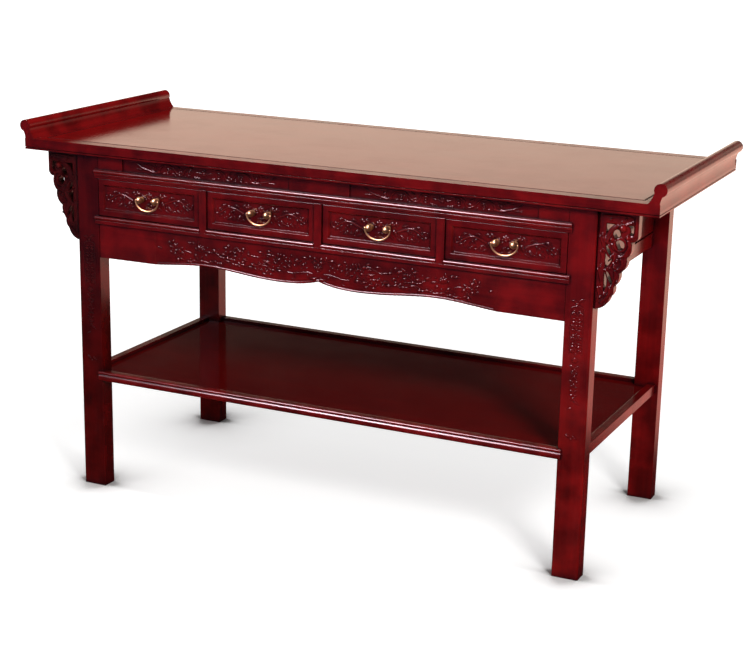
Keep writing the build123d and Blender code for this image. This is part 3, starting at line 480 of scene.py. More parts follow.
APRON_STEMS = [
    [(14, -12), (30, -11.5), (46, -14.5), (60, -17.5), (75, -17)],
    [(60, -17.5), (56, -23), (58, -29), (64, -30)],
    [(100, 4), (108, 12), (122, 17), (134, 12), (146, 7.5), (160, 9), (175, 9.5)],
    [(104, -19), (116, -16), (128, -10), (142, -9), (154, -13), (166, -12)],
    [(177, -3), (186, -8), (188, -15), (200, -18), (214, -14), (236, -12)],
    [(236, -12), (246, -18), (258, -16), (272, -20), (290, -18), (306, -21), (330, -23)],
    [(214, -5), (226, -3.5), (238, -4), (249, 1), (262, 7)],
    [(186, 12), (198, 18), (212, 14), (216, 4), (226, -3)],
    [(318, -3), (328, 0), (338, -1), (342, -8), (350, -11), (357, -20)],
    [(342, -8), (352, 0), (360, 10), (364, 18)]]
APRON_LEAVES = [
    (2, 10, 15, 12.5, 1.6, 2.9), (3, 17, 12, 23, 1.5, 2.2), (14, 19, 20, 27, -1.4, 2),
    (23, 17, 43, 20, 1.5, 2.4), (2, -22, 21, -24, -1.6, 2.9), (24, -24, 26, -15, 0.6, 1.8),
    (44, 9.5, 59, 11, 1.6, 3.3), (33, 6, 42, 3, -1, 2.2), (53, -1, 61, 1.5, 0.8, 2),
    (60, 19, 69, 22, 1, 2), (66, -6, 75, -3, 1.4, 2.9), (74, 3, 83, 7.5, 1.2, 2.4),
    (76, -11, 80, -4, -0.8, 1.9), (64, 4, 71, 10, -1, 1.9), (83, 21.5, 89, 8.5, -1.2, 2.4),
    (91, 22.5, 94.5, 11, -1, 2.1), (98, 22, 102.5, 11, -1, 2), (92, 6.5, 101, 8.5, 0.9, 2.4),
    (99, -1.5, 112, 0, 1, 2.1), (91, -12.5, 104, -11.5, 1, 2.6), (87, -18.5, 103, -16, 1, 2),
    (104, 12, 117, 15, 1.4, 2.8), (114, 21, 127, 23, 1.3, 2.9), (119, 9.5, 128, 11, 0.8, 2),
    (115, -5.5, 126, -3.5, 1.1, 2.7), (116, 1, 137, 3, -1.6, 2.7), (122, -12.5, 130, -9.5, 0.8, 2.1),
    (137, -11, 150, -8.5, 1.4, 2.7), (154, -13.5, 168, -10.5, 1.5, 3.1), (103, -20, 118, -16.5, 1.2, 2.4),
    (121, -23.5, 130, -21, 0.9, 2.7), (135, -24, 140, -16, -1, 2.2), (110, -28.5, 121, -26, 0.8, 1.8),
    (126, -29.5, 139, -27, 0.8, 1.7), (149, -23, 156, -16, -0.8, 1.9), (160, -19, 177, -17, 1.2, 2.2),
    (134, 17, 151, 19, 1.2, 2.1), (165, 7, 178, 10.5, 1.3, 2.4), (151, 7, 163, 7, 0.8, 1.9),
    (175, -4.5, 187, -2, 1.3, 3), (182, -10.5, 191, -7.5, 0.8, 2.3), (179, -17, 189, -13.5, 0.8, 2.3),
    (190, -15, 197, -8, -0.9, 2.1), (180, 19, 189, 23, 1, 2.5), (186, 11, 200, 16, 1.8, 2.8),
    (197, 23, 207, 15, 1.2, 2.2), (200, 7, 212, 10.5, 1.2, 2.6), (199, 1, 212, 2.5, 1, 2.2),
    (202, -9, 213, -5, 1.4, 2.4), (194, -19, 211, -15.5, 1.2, 2.3), (220, 27.5, 225, 18, 0.8, 2.5),
    (223, 16, 237, 19.5, 1.2, 2.4), (215, 12, 222, 5, 0.9, 2), (251, 6.5, 266, 9.5, 1.3, 3),
    (228, 1, 244, 4, 1.4, 2.6), (245, -3, 251, 3.5, 0.8, 2.3), (219, -6, 232, -3.5, 1, 2.5),
    (234, -6, 248, -3, 1, 2.1), (213, -13.5, 236, -11, 1.6, 2.2), (237, -23, 244, -16, 0.9, 2.9),
    (250, -18.5, 263, -16, 1.2, 2.5), (264, 2, 284, 3.5, 1.2, 1.9), (283, -21, 299, -18, 1.3, 2.5),
    (277, -10, 281, -2, 0.8, 1.9), (305, -22.5, 316, -19, 1, 2.3), (318, -26, 333, -22, 1.3, 2.7),
    (299, -15.5, 308, -11, 0.9, 2.3), (303, -11.5, 310, -4, 1, 2.5), (297, 26, 303, 15, -1, 2.1),
    (307, 18.5, 320, 20.5, 1, 2.5), (317, 19, 331, 20.5, 0.9, 2), (304, 4, 306, 12, -0.6, 1.9),
    (337, -9.5, 344, -4, 0.8, 2.3), (343, -3.5, 353, 1.5, 1.1, 2.9), (350, 3, 339, 8.5, 1, 2.1),
    (355, -1, 363, -3, 0.6, 1.9), (357, 3.5, 360, 13.5, 0.7, 2.5), (361, 21.5, 368, 13, 1, 2.9),
    (365, 3, 377, 7.5, 1.2, 2.3), (371, 12, 376, 19, -1, 1.9), (357, -13.5, 362, -5.5, 0.9, 2.5),
    (366, -8.5, 373, -3, -0.8, 1.9), (338, -22.5, 348, -18, 0.9, 2.5), (350, -18, 357, -28, -1.1, 2.9),
    (396, -2, 407, 1.5, 1.2, 2)]
APRON_KNOBS = [
    (8, 3, 2.4), (30, 9, 1.7), (40, 12.5, 1.5), (48, 3, 1.6), (28, -2, 1.5), (40, -5, 1.5),
    (70, 15, 1.7), (78, 15.5, 1.5), (88, 1, 1.9), (83, -6, 1.7), (108, 6, 1.6), (94, -5, 1.7),
    (110, -9, 1.8), (131, -4.5, 1.5), (146, -3, 1.6), (128, -16.5, 1.7), (145, -18, 1.6), (172, 17, 1.6),
    (195, -2, 1.8), (190, 5, 1.7), (206, 21, 1.6), (218, -20, 1.8), (268, -16, 2.4), (229, 10, 1.5),
    (290, -9, 1.6), (320, -16, 1.6), (330, 7, 1.5), (349, -5, 1.6), (367, -1, 1.5), (354, 14, 1.6),
    (350, -14, 1.7), (293, -26.5, 1.5), (276, 14, 1.5), (246, 14, 1.4)]


def carved_apron_board(edge_u, edge_v):
    """Running vines with leaves, berries and fans along the cusped board, above and below its base line,
    and a rounded lip along its lower edge, which edge_u and edge_v give."""
    board = Board((-409, -40), (409, 36.4), 0.95)
    u = np.linspace(0.0, 407, 260)
    board.ridge(np.stack([u, np.interp(u, edge_u, edge_v) + 2.7], axis=1), 2.6, 1.9)
    for line in APRON_STEMS:
        board.ridge(through(line, 60), 1.3, 1.5)
    leaves(board, APRON_LEAVES, 1.3, vein=0.3)
    knobs(board, APRON_KNOBS, 1.25)
    fan(board, (0, -6), 15, 90, 62, 5, 2.4, 2.6)
    fan(board, (295, 3), 15.5, 108, 66, 6, 2.3, 2.6)
    knob(board, (0, -7), 3.0, 3.0)
    board.mirror()
    return board


LEG_LEAVES = [(1, 148, 16, 158, 2.6, 2.8, 2.2, 2), (-2, 148, -14, 153, -2, 2.4, 1.8, 0),
    (1, -60, 13, -66, 1.4, 1.9, 1.6, 0), (-2, -74, -12, -79, -1.4, 1.7, 1.2, 0),
    (-13, -133, -3, -139, 1.4, 2.3, 2, 0), (3, -133, 13, -139.5, -1.4, 2.3, 1.9, 0)]


def carved_leg_board():
    """Hooked leaf, a tall narrow panel of short paired strokes about a cord, and leaves thinning out
    below it. u is across the leg, v up from the middle of the carving."""
    board = Board((-23, -160), (23, 160), 0.9)
    own_leaves(board, LEG_LEAVES)
    knob(board, (0, 147), 2.6, 2.0)
    board.ridge(through([(-12.5, 139), (0, 143), (12.5, 139)], 30), 1.3, 1.4)
    for side in (-1, 1):
        board.ridge(through([(side * 13.6, 137), (side * 14, 95), (side * 13.4, 42)], 60), 1.0, 0.9)
    for k, v in enumerate(np.arange(132.0, 38.0, -8.6)):
        high = 1.9 - 0.05 * k
        lean = 3.4 if k % 2 else -1.6
        for side in (-1, 1):
            leaf(board, (side * 2.0, v), (side * 11.2, v + lean), side * 1.3, 1.9, high, vein=0.25)
            if k % 3 == 0:
                scroll(board, (side * 7.0, v - 4.6), 3.4, 90 - side * 90, -side * 1.1, 1.2, 0.9 * high)
        knob(board, (0, v - 4.2), 1.5, high)
    fan(board, (0, 34), 14, -90, 58, 5, 2.0, 1.6)
    for v, reach, high in ((12, 11, 1.5), (-3, 8, 1.3), (-20, 10, 1.5), (-40, 8, 1.3), (-50, 7, 1.2)):
        for side in (-1, 1):
            leaf(board, (side * 2.2, v), (side * reach, v + 4.5), side * 1.5, 1.9, high, vein=0.25)
            leaf(board, (side * 1.6, v - 4), (side * (reach - 2), v - 8), -side * 1.2, 1.6, 0.9 * high)
        leaf(board, (0, v - 1), (0, v - 9), 0, 1.6, high)
    knob(board, (0, -141), 2.0, 1.5)
    return board


# A corner bracket, in millimetres out from the leg and down from the top. In its edge and its openings
# every second point lies inside an arc. A ridge is its points and its half width.
BRACKET_EDGE = [
    (0, 204), (0, 102), (0, 0), (41, 0), (83, 0), (83, 24), (83, 48), (79, 56.5), (69, 60),
    (70.5, 78.5), (62, 93), (60, 113), (48, 126), (46.5, 143), (38, 155), (37.5, 169), (31, 178),
    (20, 196)]
BRACKET_HOLES = [
    [(17, 27), (26.5, 27), (36, 27), (23, 38.5), (17, 54), (17, 40)],
    [(61, 27), (67, 26.5), (73, 27), (73.2, 36), (73, 45), (69, 46.5), (65, 46), (67, 36)],
    [(38, 62), (47, 58), (55, 63), (54, 75), (44, 78), (40, 70)],
    [(34, 40), (40, 37), (45, 41), (46, 51), (37, 57), (32, 49)],
    [(19, 69), (20, 82), (29, 92), (25.5, 79)],
    [(18, 86), (17.6, 102), (18, 118), (27, 109), (32, 98), (25, 95)],
    [(22, 123), (30, 134), (35, 151), (26, 142)], [(17.5, 126), (17.2, 146), (17.5, 166), (23.5, 147)]]
BRACKET_RIDGES = [
    ([(42, 29), (32, 41), (26, 53), (20, 64)], 2.8),
    ([(50, 20), (56, 25), (62, 24), (68, 21)], 2.2),
    ([(64, 58), (66, 69), (62, 80), (56, 89), (47, 92)], 3.2), ([(6, 54), (10, 64), (15, 76)], 2.2),
    ([(13, 56), (16.5, 66)], 1.7), ([(25, 71), (29, 77), (32.5, 84)], 2.6),
    ([(30.5, 68), (34.5, 78)], 2.2), ([(52, 96), (54, 108), (46, 118), (38, 114)], 3),
    ([(36, 86), (37.5, 94), (35, 103), (30, 114)], 2.6),
    ([(40, 122), (41.5, 134), (38, 145), (36, 153)], 2.8), ([(5, 121), (9, 134), (13, 150)], 2.2),
    ([(20, 121), (25, 131), (31, 146)], 1.8), ([(31, 158), (30, 168), (24, 179), (14, 189)], 3),
    ([(6, 160), (9, 173), (6, 186)], 2.4), ([(78, 5), (78.4, 22), (78, 40), (73.5, 52)], 2.6),
    ([(6, 6), (6, 26), (6, 46)], 2.4), ([(12, 10), (36, 9), (60, 9), (72, 12)], 2.2),
    ([(11, 158), (16.5, 166), (18, 176)], 2), ([(9, 84), (12, 96), (10, 108)], 2.2)]
BRACKET_KNOBS = [
    (52, 33, 8.5), (31, 58, 5.4), (63, 52, 5), (42, 57, 3.8), (12, 50, 3.2), (14.5, 82, 3.2),
    (33, 90, 3.4), (44, 101, 3.8), (37.5, 105, 3), (12, 112, 3.2), (30, 117, 3.2), (9, 117, 2.6),
    (20, 116, 2.8), (22, 171, 3.6), (13, 178, 3), (52, 86, 2.8), (72, 20, 3.2), (28, 17.5, 3.6),
    (58, 14, 3), (46, 143, 2.6), (38, 112, 2.6)]


def through_arcs(points, spacing=1.3):
    """Points along a closed loop of arcs: every second point given lies inside an arc. Each arc is the
    circle through its three points, or a straight line where they are in line."""
    p = np.asarray([*points, points[0]], float)
    runs = []
    for a, b, c in zip(p[:-2:2], p[1:-1:2], p[2::2]):
        ab, ac = b - a, c - a
        twice = 2 * (ab[0] * ac[1] - ab[1] * ac[0])
        count = max(3, int((np.hypot(*ab) + np.hypot(*(c - b))) / spacing))
        t = np.linspace(0, 1, count, endpoint=False)[:, None]
        if abs(twice) < 1:
            runs.append(a + (c - a) * t)
            continue
        centre = a + np.array([ac[1] * (ab @ ab) - ab[1] * (ac @ ac),
                               ab[0] * (ac @ ac) - ac[0] * (ab @ ab)]) / twice
        start, middle, stop = (np.arctan2(*(q - centre)[::-1]) for q in (a, b, c))
        turn = (stop - start) % (2 * np.pi)
        if (middle - start) % (2 * np.pi) > turn:
            turn -= 2 * np.pi
        angle = start + turn * t
        runs.append(centre + np.hypot(*(a - centre)) * np.hstack([np.cos(angle), np.sin(angle)]))
    return np.concatenate(runs)


def carved_bracket_board():
    """Ribs between the openings rounded over, with scrolls and knobs along them. A rib's height grows
    from its edge as a quarter round: high * sqrt(1 - (1 - distance / round)^2)."""
    board = Board((-2, -206), (85, 2), 0.85)
    gu, gv = np.meshgrid(board.u, board.v)
    inside = np.zeros(gu.shape, bool)
    apart = np.full(gu.shape, 1e9)
    for loop in [BRACKET_EDGE, *BRACKET_HOLES]:
        line = through_arcs(loop) * (1, -1)
        for (u0, v0), (u1, v1) in zip(line, np.roll(line, -1, axis=0)):
            if v0 != v1:
                inside ^= ((v0 > gv) != (v1 > gv)) & (gu < (u1 - u0) * (gv - v0) / (v1 - v0) + u0)
            apart = np.minimum(apart, np.hypot(gu - u0, gv - v0))
    quarter = np.clip(apart / 4.2, 0, 1)
    board.height = np.where(inside, 2.8 * np.sqrt(1 - (1 - quarter) ** 2) - 0.12, -0.5 * apart - 0.2)
    ring(board, 47.5, -67.6, 12.0, 12.4, 3.4, 6.0, count=50, vein=0.2)
    for points, width in BRACKET_RIDGES:
        board.ridge(through(np.asarray(points) * (1, -1), 40), width, 1.0 + 1.8 * width, vein=0.15)
    knobs(board, [(out, -down, radius) for out, down, radius in BRACKET_KNOBS], 0.8, 3.6)
    board.height = np.where(inside, board.height, -0.5 * apart - 0.2).clip(board.SUNK)
    return board


# ---- materials ----

def lacquer(name, stretch, deep, bright, roughness, dull=0.05, edge=0.12, relief=False, seam=None,
            mottle=0.65):
    """Red lacquer over wood. stretch is how often the grain repeats per metre along x, y and z. mottle
    is the share of the tone that comes in clouds, the rest in streaks along the grain. dull is how much
    rougher the film is in its dulled patches, and edge how far its edges are lightened, as a painted
    highlight, and worn. Corners are darkened as painted shade. relief darkens the ground of carving, as
    painted shade, and reddens its tops, as a painted highlight and rubbed wear. seam is the half length
    and half width of an upright box in whose outline the surface dips: max(|x| - length, |y| - width) is
    0 there."""
    made, tree, place = begin(name)
    grain = place_group(tree, "wood_grain", {"Vector": place, "Stretch": stretch})
    sheen_and_wear = place_group(tree, "edge_sheen_and_wear", {"Vector": place, "Radius": 0.0013, "Turn": 0.16})
    polish = place_group(tree, "polish", {"Vector": place})
    # painted shade: the less open space within 25 mm and within 7 mm, the darker the lacquer below
    corner_dark = place_group(tree, "crevice", {"Reach": 0.025})
    corners = place_group(tree, "crevice", {"Reach": 0.007, "Darkest": 0.6})
    tone = maths(tree, "ADD", times(tree, grain["Streaks"], 1 - mottle),
                 ramp(tree, noise(tree, place, 17.0, 5.0), 0.35, 0.65, 0.0, mottle), clamp=True)
    colour = mix(tree, tone, (*deep, 1), (*bright, 1))
    # painted highlight: edges lightened to a brighter red
    colour = glaze(tree, colour, sheen_and_wear["Edge"], edge, (0.36, 0.02, 0.015))
    colour = glaze(tree, colour, sheen_and_wear["Rubbed"], edge, (0.34, 0.09, 0.05))
    dark = maths(tree, "MAXIMUM", corner_dark["Depth"], corners["Depth"])
    if relief:
        height = add(tree, "ShaderNodeAttribute", attribute_name="relief").outputs["Fac"]
        # painted shade: the low ground of the carving is darkened
        ground = ramp(tree, height, 0.02, 0.35, 1.0, 0.0)
        dark = maths(tree, "MAXIMUM", dark, times(tree, ground, 0.75))
        # painted highlight and rubbed wear: the tops of the carving turn a brighter red
        colour = mix(tree, ramp(tree, height, 0.5, 1.0, 0.0, 0.4), colour, (0.27, 0.012, 0.012, 1))
    # painted shade laid over corners and over the ground of carving
    colour = glaze(tree, colour, dark, 0.85, CORNER_SHADE)
    rough = raised(tree, raised(tree, roughness, polish["Dull"], dull), dark, 0.05)
    height = raised(tree, times(tree, polish["Waves"], 0.5), grain["Pores"], 0.06)
    if seam:
        parts = add(tree, "ShaderNodeSeparateXYZ", {0: place})
        beyond = [maths(tree, "SUBTRACT", maths(tree, "ABSOLUTE", parts.outputs[axis]), half)
                  for axis, half in zip("XY", seam)]
        apart = maths(tree, "ABSOLUTE", maths(tree, "MAXIMUM", *beyond))
        dip = ramp(tree, apart, 0.0005, 0.0045, 1.0, 0.0)
        height = raised(tree, height, dip, -8.0)
        colour = glaze(tree, colour, dip, 0.8, (0.018, 0.002, 0.002))
        rough = raised(tree, rough, dip, 0.3)
    surface(tree, colour, rough, {"Height": height, "Strength": 0.14, "Distance": 0.0006,
                                  "Normal": sheen_and_wear["Eased"]})
    return made


def bare_wood(name, stretch):
    """Unfinished softwood of the unseen parts: brown earlywood and darker latewood streaks, darker in
    corners.
    """
    made, tree, place = begin(name)
    grain = place_group(tree, "wood_grain", {"Vector": place, "Stretch": stretch})
    sheen_and_wear = place_group(tree, "edge_sheen_and_wear", {"Vector": place, "Radius": 0.0015, "Turn": 0.2})
    corner_dark = place_group(tree, "crevice", {"Reach": 0.02})
    colour = mix(tree, grain["Streaks"], (0.20, 0.105, 0.05, 1), (0.36, 0.22, 0.12, 1))
    colour = glaze(tree, colour, grain["Pores"], 0.35, (0.13, 0.06, 0.03))
    colour = glaze(tree, colour, sheen_and_wear["Rubbed"], 0.5, (0.42, 0.29, 0.18))
    colour = glaze(tree, colour, corner_dark["Depth"], 0.7, (0.05, 0.03, 0.02))
    surface(tree, colour, raised(tree, 0.6, grain["Streaks"], 0.15),
            {"Height": grain["Pores"], "Strength": 0.35, "Distance": 0.0004})
    return made


def cast_brass(name):
    """Polished brass, tarnished in its corners and a little mottled by handling."""
    made, tree, place = begin(name)
    sheen_and_wear = place_group(tree, "edge_sheen_and_wear", {"Vector": place, "Radius": 0.0006, "Turn": 0.2})
    corner_dark = place_group(tree, "crevice", {"Reach": 0.004})
    spots = noise(tree, place, 260.0, 4.0)
    colour = mix(tree, ramp(tree, spots, 0.35, 0.7), (0.80, 0.52, 0.24, 1), (0.90, 0.64, 0.34, 1))
    colour = glaze(tree, colour, sheen_and_wear["Edge"], 0.5, (0.95, 0.76, 0.45))
    colour = glaze(tree, colour, corner_dark["Depth"], 0.75, (0.09, 0.05, 0.015))
    rough = raised(tree, raised(tree, 0.3, spots, 0.12), corner_dark["Depth"], 0.25)
    surface(tree, colour, rough, {"Height": spots, "Strength": 0.15, "Distance": 0.0002}, Metallic=1.0)
    return made


def dress(names, material):
    """Gives CAD nodes a material."""
    for name in names:
        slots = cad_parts[name].material_slots
        if not slots:
            raise RuntimeError(f"{name} has no material slot")
        for slot in slots:
            slot.material = material


# ---- settings ----

def colour_setting(label, words, default):
    """A colour that the user may change."""
    return bpy.props.FloatVectorProperty(name=label, description=words, default=default, subtype="COLOR",
                                         size=3, min=0, max=1)


def number_setting(label, words, default, low=0, **more):
    """A number that the user may change."""
    return bpy.props.FloatProperty(name=label, description=words, default=default, min=low, **more)


class FinishSettings(bpy.types.PropertyGroup):
    """What the finish is made of"""
    deep: colour_setting("Deep red", "Lacquer where it is thick or shaded", (0.08, 0.0016, 0.002))
    bright: colour_setting("Bright red", "Lacquer where it is thin or polished", (0.24, 0.0042, 0.0045))
    roughness: number_setting("Roughness", "Roughness of the case lacquer", 0.165, 0.02, max=1)
    top_roughness: number_setting("Top roughness", "Roughness of the polished top", 0.13, 0.02, max=1)
    # painted shade: this share darkens the lacquer of the front left leg, its bracket and their carving
    left_shade: number_setting("Dark leg", "Colour of the front left leg and its bracket, which took the stain "
                          "more, as a share of the others'", 0.5, 0.1, max=1, subtype="FACTOR")


class StudioSettings(bpy.types.PropertyGroup):
    """How the studio is lit"""
    key: number_setting("Key lamp", "Power of the lamp at front right", 108, unit="POWER")
    overhead: number_setting("Overhead lamp", "Power of the box lamp over the table", 18, unit="POWER")
    pane: number_setting("Pane lamp", "Power of the tall pane mirrored in the beads and the carving, which "
                         "lights nothing else", 620, unit="POWER")
    fill: number_setting("Fill", "Strength of the even light from all round", 0.24)


# ---- operators ----

def shaded(colour, share):
    """A colour times a share."""
    return tuple(share * c for c in colour)


def middle(node, face):
    """Middle of a CAD node seen from the front, on a face."""
    low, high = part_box(node)
    return (low[0] + high[0]) / 2, face, (low[2] + high[2]) / 2


class ALTAR_OT_lacquer(bpy.types.Operator):
    """Lacquers the case, legs, shelf and drawer fronts, with grain along each piece"""
    bl_idname = "altar.lacquer"
    bl_label = "Lacquer"

    def execute(self, context):
        s = context.scene.altar_finish
        reds = tuple(s.deep), tuple(s.bright)
        # painted shade: darker copies of the reds for the front left leg, its bracket and their carving
        darker = [shaded(red, s.left_shade) for red in reds]
        for name, names, stretch, colours in (
                ("along_x", ALONG_X + [f"drawer_{k}_front" for k in DRAWERS], (2.5, 55, 55), reds),
                ("along_y", ALONG_Y, (55, 2.5, 55), reds), ("along_z", ALONG_Z, (55, 55, 2.5), reds),
                ("dark_leg", DARK_Z, (55, 55, 2.5), darker)):
            dress(names, lacquer(f"lacquer_{name}", stretch, *colours, s.roughness))
        for name, shades, roughness, seam in (("top", (0.62, 0.88), s.top_roughness, TOP_SEAM),
                                              ("shelf", (0.5, 0.72), 0.65 * s.top_roughness, None)):
            colours = [shaded(reds[1], shade) for shade in shades]
            dress([f"{name}_panel"], lacquer(f"lacquer_{name}", (1.6, 45, 45), *colours, roughness, 0.02,
                                             seam=seam, mottle=0.3))
        for name, colours, rougher in (("carved", reds, 1.05), ("dark_carved", darker, 2.2)):
            lacquer(f"lacquer_{name}", (30, 30, 30), *colours, rougher * s.roughness, edge=0.0, relief=True)
        return {"FINISHED"}


class ALTAR_OT_bare_wood(bpy.types.Operator):
    """Leaves the hidden framing and the insides of the drawers as bare wood"""
    bl_idname = "altar.bare_wood"
    bl_label = "Bare wood"

    def execute(self, context):
        wood_x = bare_wood("bare_wood_along_x", (3, 70, 70))
        wood_y = bare_wood("bare_wood_along_y", (70, 3, 70))
        dress([f"drawer_{k}_{part}" for k in DRAWERS for part in ("back", "bottom")], wood_x)
        dress([f"drawer_{k}_sides" for k in DRAWERS] + UNSEEN, wood_y)
        return {"FINISHED"}


class ALTAR_OT_brass(bpy.types.Operator):
    """Gives the drawer pulls their brass"""
    bl_idname = "altar.brass"
    bl_label = "Brass"

    def execute(self, context):
        brass = cast_brass("brass")
        dress([f"drawer_{k}_handle_{part}" for k in DRAWERS for part in ("posts", "bail")], brass)
        return {"FINISHED"}


class ALTAR_OT_carve_drawers(bpy.types.Operator):
    """Carves the sunk fields of the four drawer fronts"""
    bl_idname = "altar.carve_drawers"
    bl_label = "Carve drawers"

    def execute(self, context):
        board = carved_drawer_board()
        for k in DRAWERS:
            shells(f"drawer_{k}_carving", board, middle(f"drawer_{k}_front", FIELD_FACE), f"drawer_{k}")
        return {"FINISHED"}


class ALTAR_OT_carve_case(bpy.types.Operator):
    """Carves the frieze panels, the cusped apron board and the faces of the front legs"""
    bl_idname = "altar.carve_case"
    bl_label = "Carve case"

    def execute(self, context):
        board = carved_frieze_board()
        for _, word in ENDS:
            shells(f"frieze_carving_{word}", board, middle(f"frieze_panel_{word}", FIELD_FACE))
        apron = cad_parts["apron_center"].data
        points = np.empty(3 * len(apron.vertices), np.float32)
        apron.vertices.foreach_get("co", points)
        x, y, z = points.reshape(-1, 3).T
        edge = (y < APRON_FACE + 0.0001) & (z < APRON_LINE)
        order = np.argsort(x[edge])
        board = carved_apron_board(1000 * x[edge][order], 1000 * z[edge][order] - 1000 * APRON_LINE)
        shells("apron_carving", board, (0, APRON_FACE, APRON_LINE))
        board = carved_leg_board()
        for end, word in ENDS:
            shells(f"leg_carving_{word}", board, (end * LEG_OUT, LEG_FACE, LEG_UP))
        return {"FINISHED"}


class ALTAR_OT_carve_brackets(bpy.types.Operator):
    """Rounds and carves the two pierced corner brackets"""
    bl_idname = "altar.carve_brackets"
    bl_label = "Carve brackets"

    def execute(self, context):
        board = carved_bracket_board()
        for end, word in ENDS[::-1]:
            shells(f"bracket_carving_{word}", board, (end * BRACKET_OUT, BRACKET_FACE, BRACKET_UP))
            board.u, board.height = -board.u[::-1], board.height[:, ::-1]
        return {"FINISHED"}


class ALTAR_OT_studio(bpy.types.Operator):
    """Sets the camera, the pale floor, the lamps and the even light all round"""
    bl_idname = "altar.studio"
    bl_label = "Studio"

    def execute(self, context):
        s = context.scene.altar_studio
        camera()
        floor()
        key = lamp("key_lamp", (2.8, -2.7, 2.7), (0.1, 0, 0.5), (0.9, 0.9), s.key)
        key.visible_glossy = False
        lamp("overhead_lamp", (-0.65, -0.35, 2.5), (-0.65, -0.25, 0.8), (1.27, 0.14), s.overhead)
        pane = lamp("pane_lamp", (-2.1, -4.1, 3.9), (0, -0.3, 0.65), (1.6, 2.1), s.pane)
        pane.data.color = (1.0, 0.72, 0.82)
        pane.visible_diffuse = False
        # the pane leaves the flat top and shelf alone, and the carving on the dark leg and bracket
        kept_out = bpy.data.collections.new("kept_out_of_the_pane")
        flat = [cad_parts[name] for name in FLAT]
        for piece in flat + [bpy.data.objects[name] for name in DARK_CARVING]:
            kept_out.objects.link(piece)
        for held in kept_out.collection_objects:
            held.light_linking.link_state = "EXCLUDE"
        pane.light_linking.receiver_collection = kept_out
        surroundings(s.fill)
        return {"FINISHED"}


def camera():
    """Camera at the viewing angle, its yaw, pitch and roll in radians. Its matrix's columns are its right,
    up and backward directions and its place."""
    lens = bpy.data.cameras.new("camera")
    lens.lens, lens.sensor_width = 82.48, 36.0
    lens.clip_start, lens.clip_end = 0.1, 200
    made = placed("camera", lens)
    yaw, pitch, roll = 0.4384, 0.2760, 0.0203
    forward = np.array([-np.sin(yaw) * np.cos(pitch), np.cos(yaw) * np.cos(pitch), -np.sin(pitch)])
    level = np.array([np.cos(yaw), np.sin(yaw), 0.0])
    upright = np.cross(level, forward)
    right = np.cos(roll) * level + np.sin(roll) * upright
    up = np.cos(roll) * upright - np.sin(roll) * level
    turned = np.eye(4)
    turned[:3, 0], turned[:3, 1], turned[:3, 2] = right, up, -forward
    turned[:3, 3] = (1.64259, -3.49234, 1.47397)
    made.matrix_world = Matrix(turned.tolist())
    bpy.context.scene.camera = made


def lamp(name, at, towards, size, power):
    """A box lamp at a point, facing another."""
    light = bpy.data.lights.new(name, "AREA")
    light.shape = "RECTANGLE"
    light.size, light.size_y = size
    light.energy = power
    made = placed(name, light)
    made.location = at
    made.rotation_euler = (Vector(towards) - Vector(at)).to_track_quat("-Z", "Y").to_euler()
    made.visible_camera = False
    return made


def rays(tree):
    """Masks of the rays that see a surface straight or through glass, and of those that see it in gloss."""
    ray = add(tree, "ShaderNodeLightPath").outputs
    return (maths(tree, "ADD", ray["Is Camera Ray"], ray["Is Transmission Ray"], clamp=True),
            ray["Is Glossy Ray"])


def floor():
    """A pale floor that takes the shadows. To the camera it is lifted to white, but for the contact shadow
    round what stands on it. In gloss it is dim in front and a warm red, then pale, behind the table."""
    half, count = 40.0, 9
    x, y = np.meshgrid(np.linspace(-half, half, count), np.linspace(-half, half, count))
    points = np.stack([x, y, np.zeros_like(x)], axis=-1).reshape(-1, 3)
    i = np.arange(count * count).reshape(count, count)
    faces = np.stack([i[:-1, :-1], i[:-1, 1:], i[1:, 1:], i[1:, :-1]], axis=-1).reshape(-1, 4)
    mesh = bpy.data.meshes.new("floor")
    mesh.from_pydata(points.tolist(), [], faces.tolist())
    placed("floor", mesh)
    material, tree, place = begin("floor")
    material.cycles.emission_sampling = "NONE"  # its glow is seen, and lights nothing
    seen, gloss = rays(tree)
    back = add(tree, "ShaderNodeSeparateXYZ", {0: place}).outputs["Y"]
    out = add(tree, "ShaderNodeVectorMath", {0: place}, operation="LENGTH").outputs["Value"]
    # painted shadow: the lift fades where the floor is enclosed, leaving a dark patch round each foot
    near = add(tree, "ShaderNodeAmbientOcclusion", {"Distance": 0.25}, samples=12).outputs["AO"]
    lift = ramp(tree, near, 0.7, 0.985, 0.0, 0.74)
    glow = times(tree, seen, maths(tree, "ADD", lift, ramp(tree, out, 1.0, 2.6, 0.0, 0.5)))
    paint = add(tree, "ShaderNodeBsdfDiffuse", {"Color": (0.72, 0.71, 0.70, 1)})
    shine = add(tree, "ShaderNodeEmission", {"Color": (1, 1, 1, 1), "Strength": glow})
    both = add(tree, "ShaderNodeAddShader", {0: paint.outputs[0], 1: shine.outputs[0]})
    mirrored = mix(tree, ramp(tree, back, -2.8, -0.8, 1.0, 0.0), (0.02, 0.012, 0.012, 1),
                   (0.07, 0.035, 0.08, 1))
    mirrored = mix(tree, ramp(tree, back, 0.4, 0.95), mirrored, (1.3, 0.44, 0.36, 1))
    mirrored = mix(tree, ramp(tree, back, 1.3, 2.3), mirrored, (1.6, 0.92, 0.7, 1))
    mirror = add(tree, "ShaderNodeEmission", {"Color": mirrored})
    whole = add(tree, "ShaderNodeMixShader", {0: gloss, 1: both.outputs[0], 2: mirror.outputs[0]})
    add(tree, "ShaderNodeOutputMaterial", {"Surface": whole.outputs[0]})
    mesh.materials.append(material)


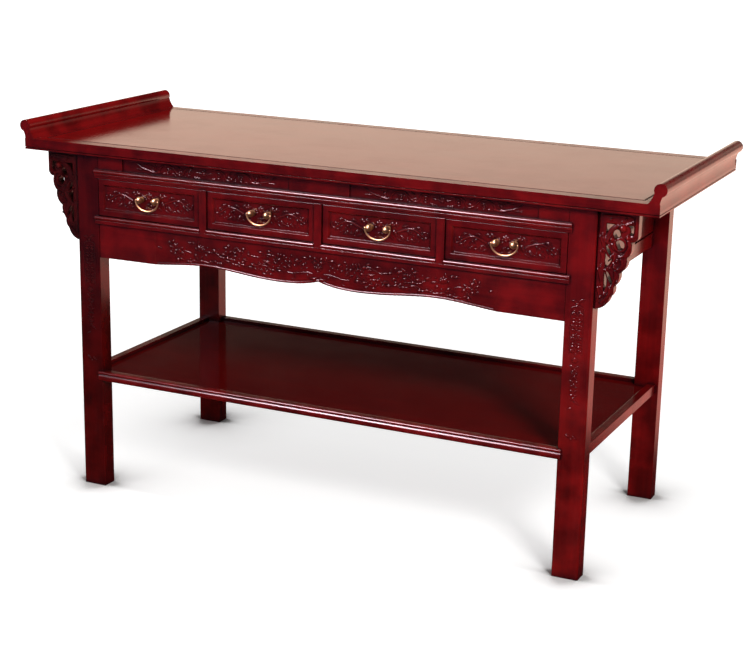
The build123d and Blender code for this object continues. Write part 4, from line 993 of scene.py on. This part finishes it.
def surroundings(fill):
    """Even light from all round, white to the camera. In gloss it is a warm pale band low down behind
    the table, and dim elsewhere."""
    world = bpy.data.worlds.new("surroundings")
    bpy.context.scene.world = world
    tree = empty_tree(world)
    seen, gloss = rays(tree)
    heading = add(tree, "ShaderNodeTexCoord").outputs["Generated"]
    x, y, z = add(tree, "ShaderNodeSeparateXYZ", {0: heading}).outputs
    low = times(tree, ramp(tree, z, -0.055, 0.0), ramp(tree, z, 0.2, 0.255, 1.0, 0.0))
    wall = times(tree, ramp(tree, y, 0.3, 0.6), low)
    wall = times(tree, wall, ramp(tree, x, 0.05, 0.3, 1.0, 0.25))
    dim = mix(tree, ramp(tree, y, 0.2, 0.7), (0.11, 0.06, 0.085, 1), (0.02, 0.012, 0.012, 1))
    glossy = mix(tree, wall, dim, (1.2, 0.93, 0.72, 1))
    colour = mix(tree, gloss, (fill, fill, fill, 1), glossy)
    colour = mix(tree, seen, colour, (1, 1, 1, 1))
    light = add(tree, "ShaderNodeBackground", {"Color": colour, "Strength": 1.0})
    add(tree, "ShaderNodeOutputWorld", {"Surface": light.outputs[0]})
    bpy.context.scene.view_settings.view_transform = "Standard"


class ALTAR_PT_panel(bpy.types.Panel):
    """Everything that dresses the table"""
    bl_label = "Altar Table"
    bl_idname = "ALTAR_PT_panel"
    bl_space_type = "VIEW_3D"
    bl_region_type = "UI"
    bl_category = "Altar Table"

    def draw(self, context):
        for group in (context.scene.altar_finish, context.scene.altar_studio):
            for name in group.__annotations__:
                self.layout.prop(group, name)
        for operator in OPERATORS:
            self.layout.operator(operator.bl_idname)


OPERATORS = (ALTAR_OT_lacquer, ALTAR_OT_bare_wood, ALTAR_OT_brass, ALTAR_OT_carve_drawers,
             ALTAR_OT_carve_case, ALTAR_OT_carve_brackets, ALTAR_OT_studio)
CLASSES = (FinishSettings, StudioSettings, *OPERATORS, ALTAR_PT_panel)


def register():
    """Adds the classes and the settings."""
    for cls in CLASSES:
        bpy.utils.register_class(cls)
    bpy.types.Scene.altar_finish = bpy.props.PointerProperty(type=FinishSettings)
    bpy.types.Scene.altar_studio = bpy.props.PointerProperty(type=StudioSettings)


def unregister():
    """Takes them away again."""
    del bpy.types.Scene.altar_finish
    del bpy.types.Scene.altar_studio
    for cls in reversed(CLASSES):
        bpy.utils.unregister_class(cls)


def main():
    """Dresses the table and sets the stage."""
    register()
    bpy.ops.altar.lacquer()
    bpy.ops.altar.bare_wood()
    bpy.ops.altar.brass()
    bpy.ops.altar.carve_drawers()
    bpy.ops.altar.carve_case()
    bpy.ops.altar.carve_brackets()
    bpy.ops.altar.studio()


if __name__ == "__main__":
    main()
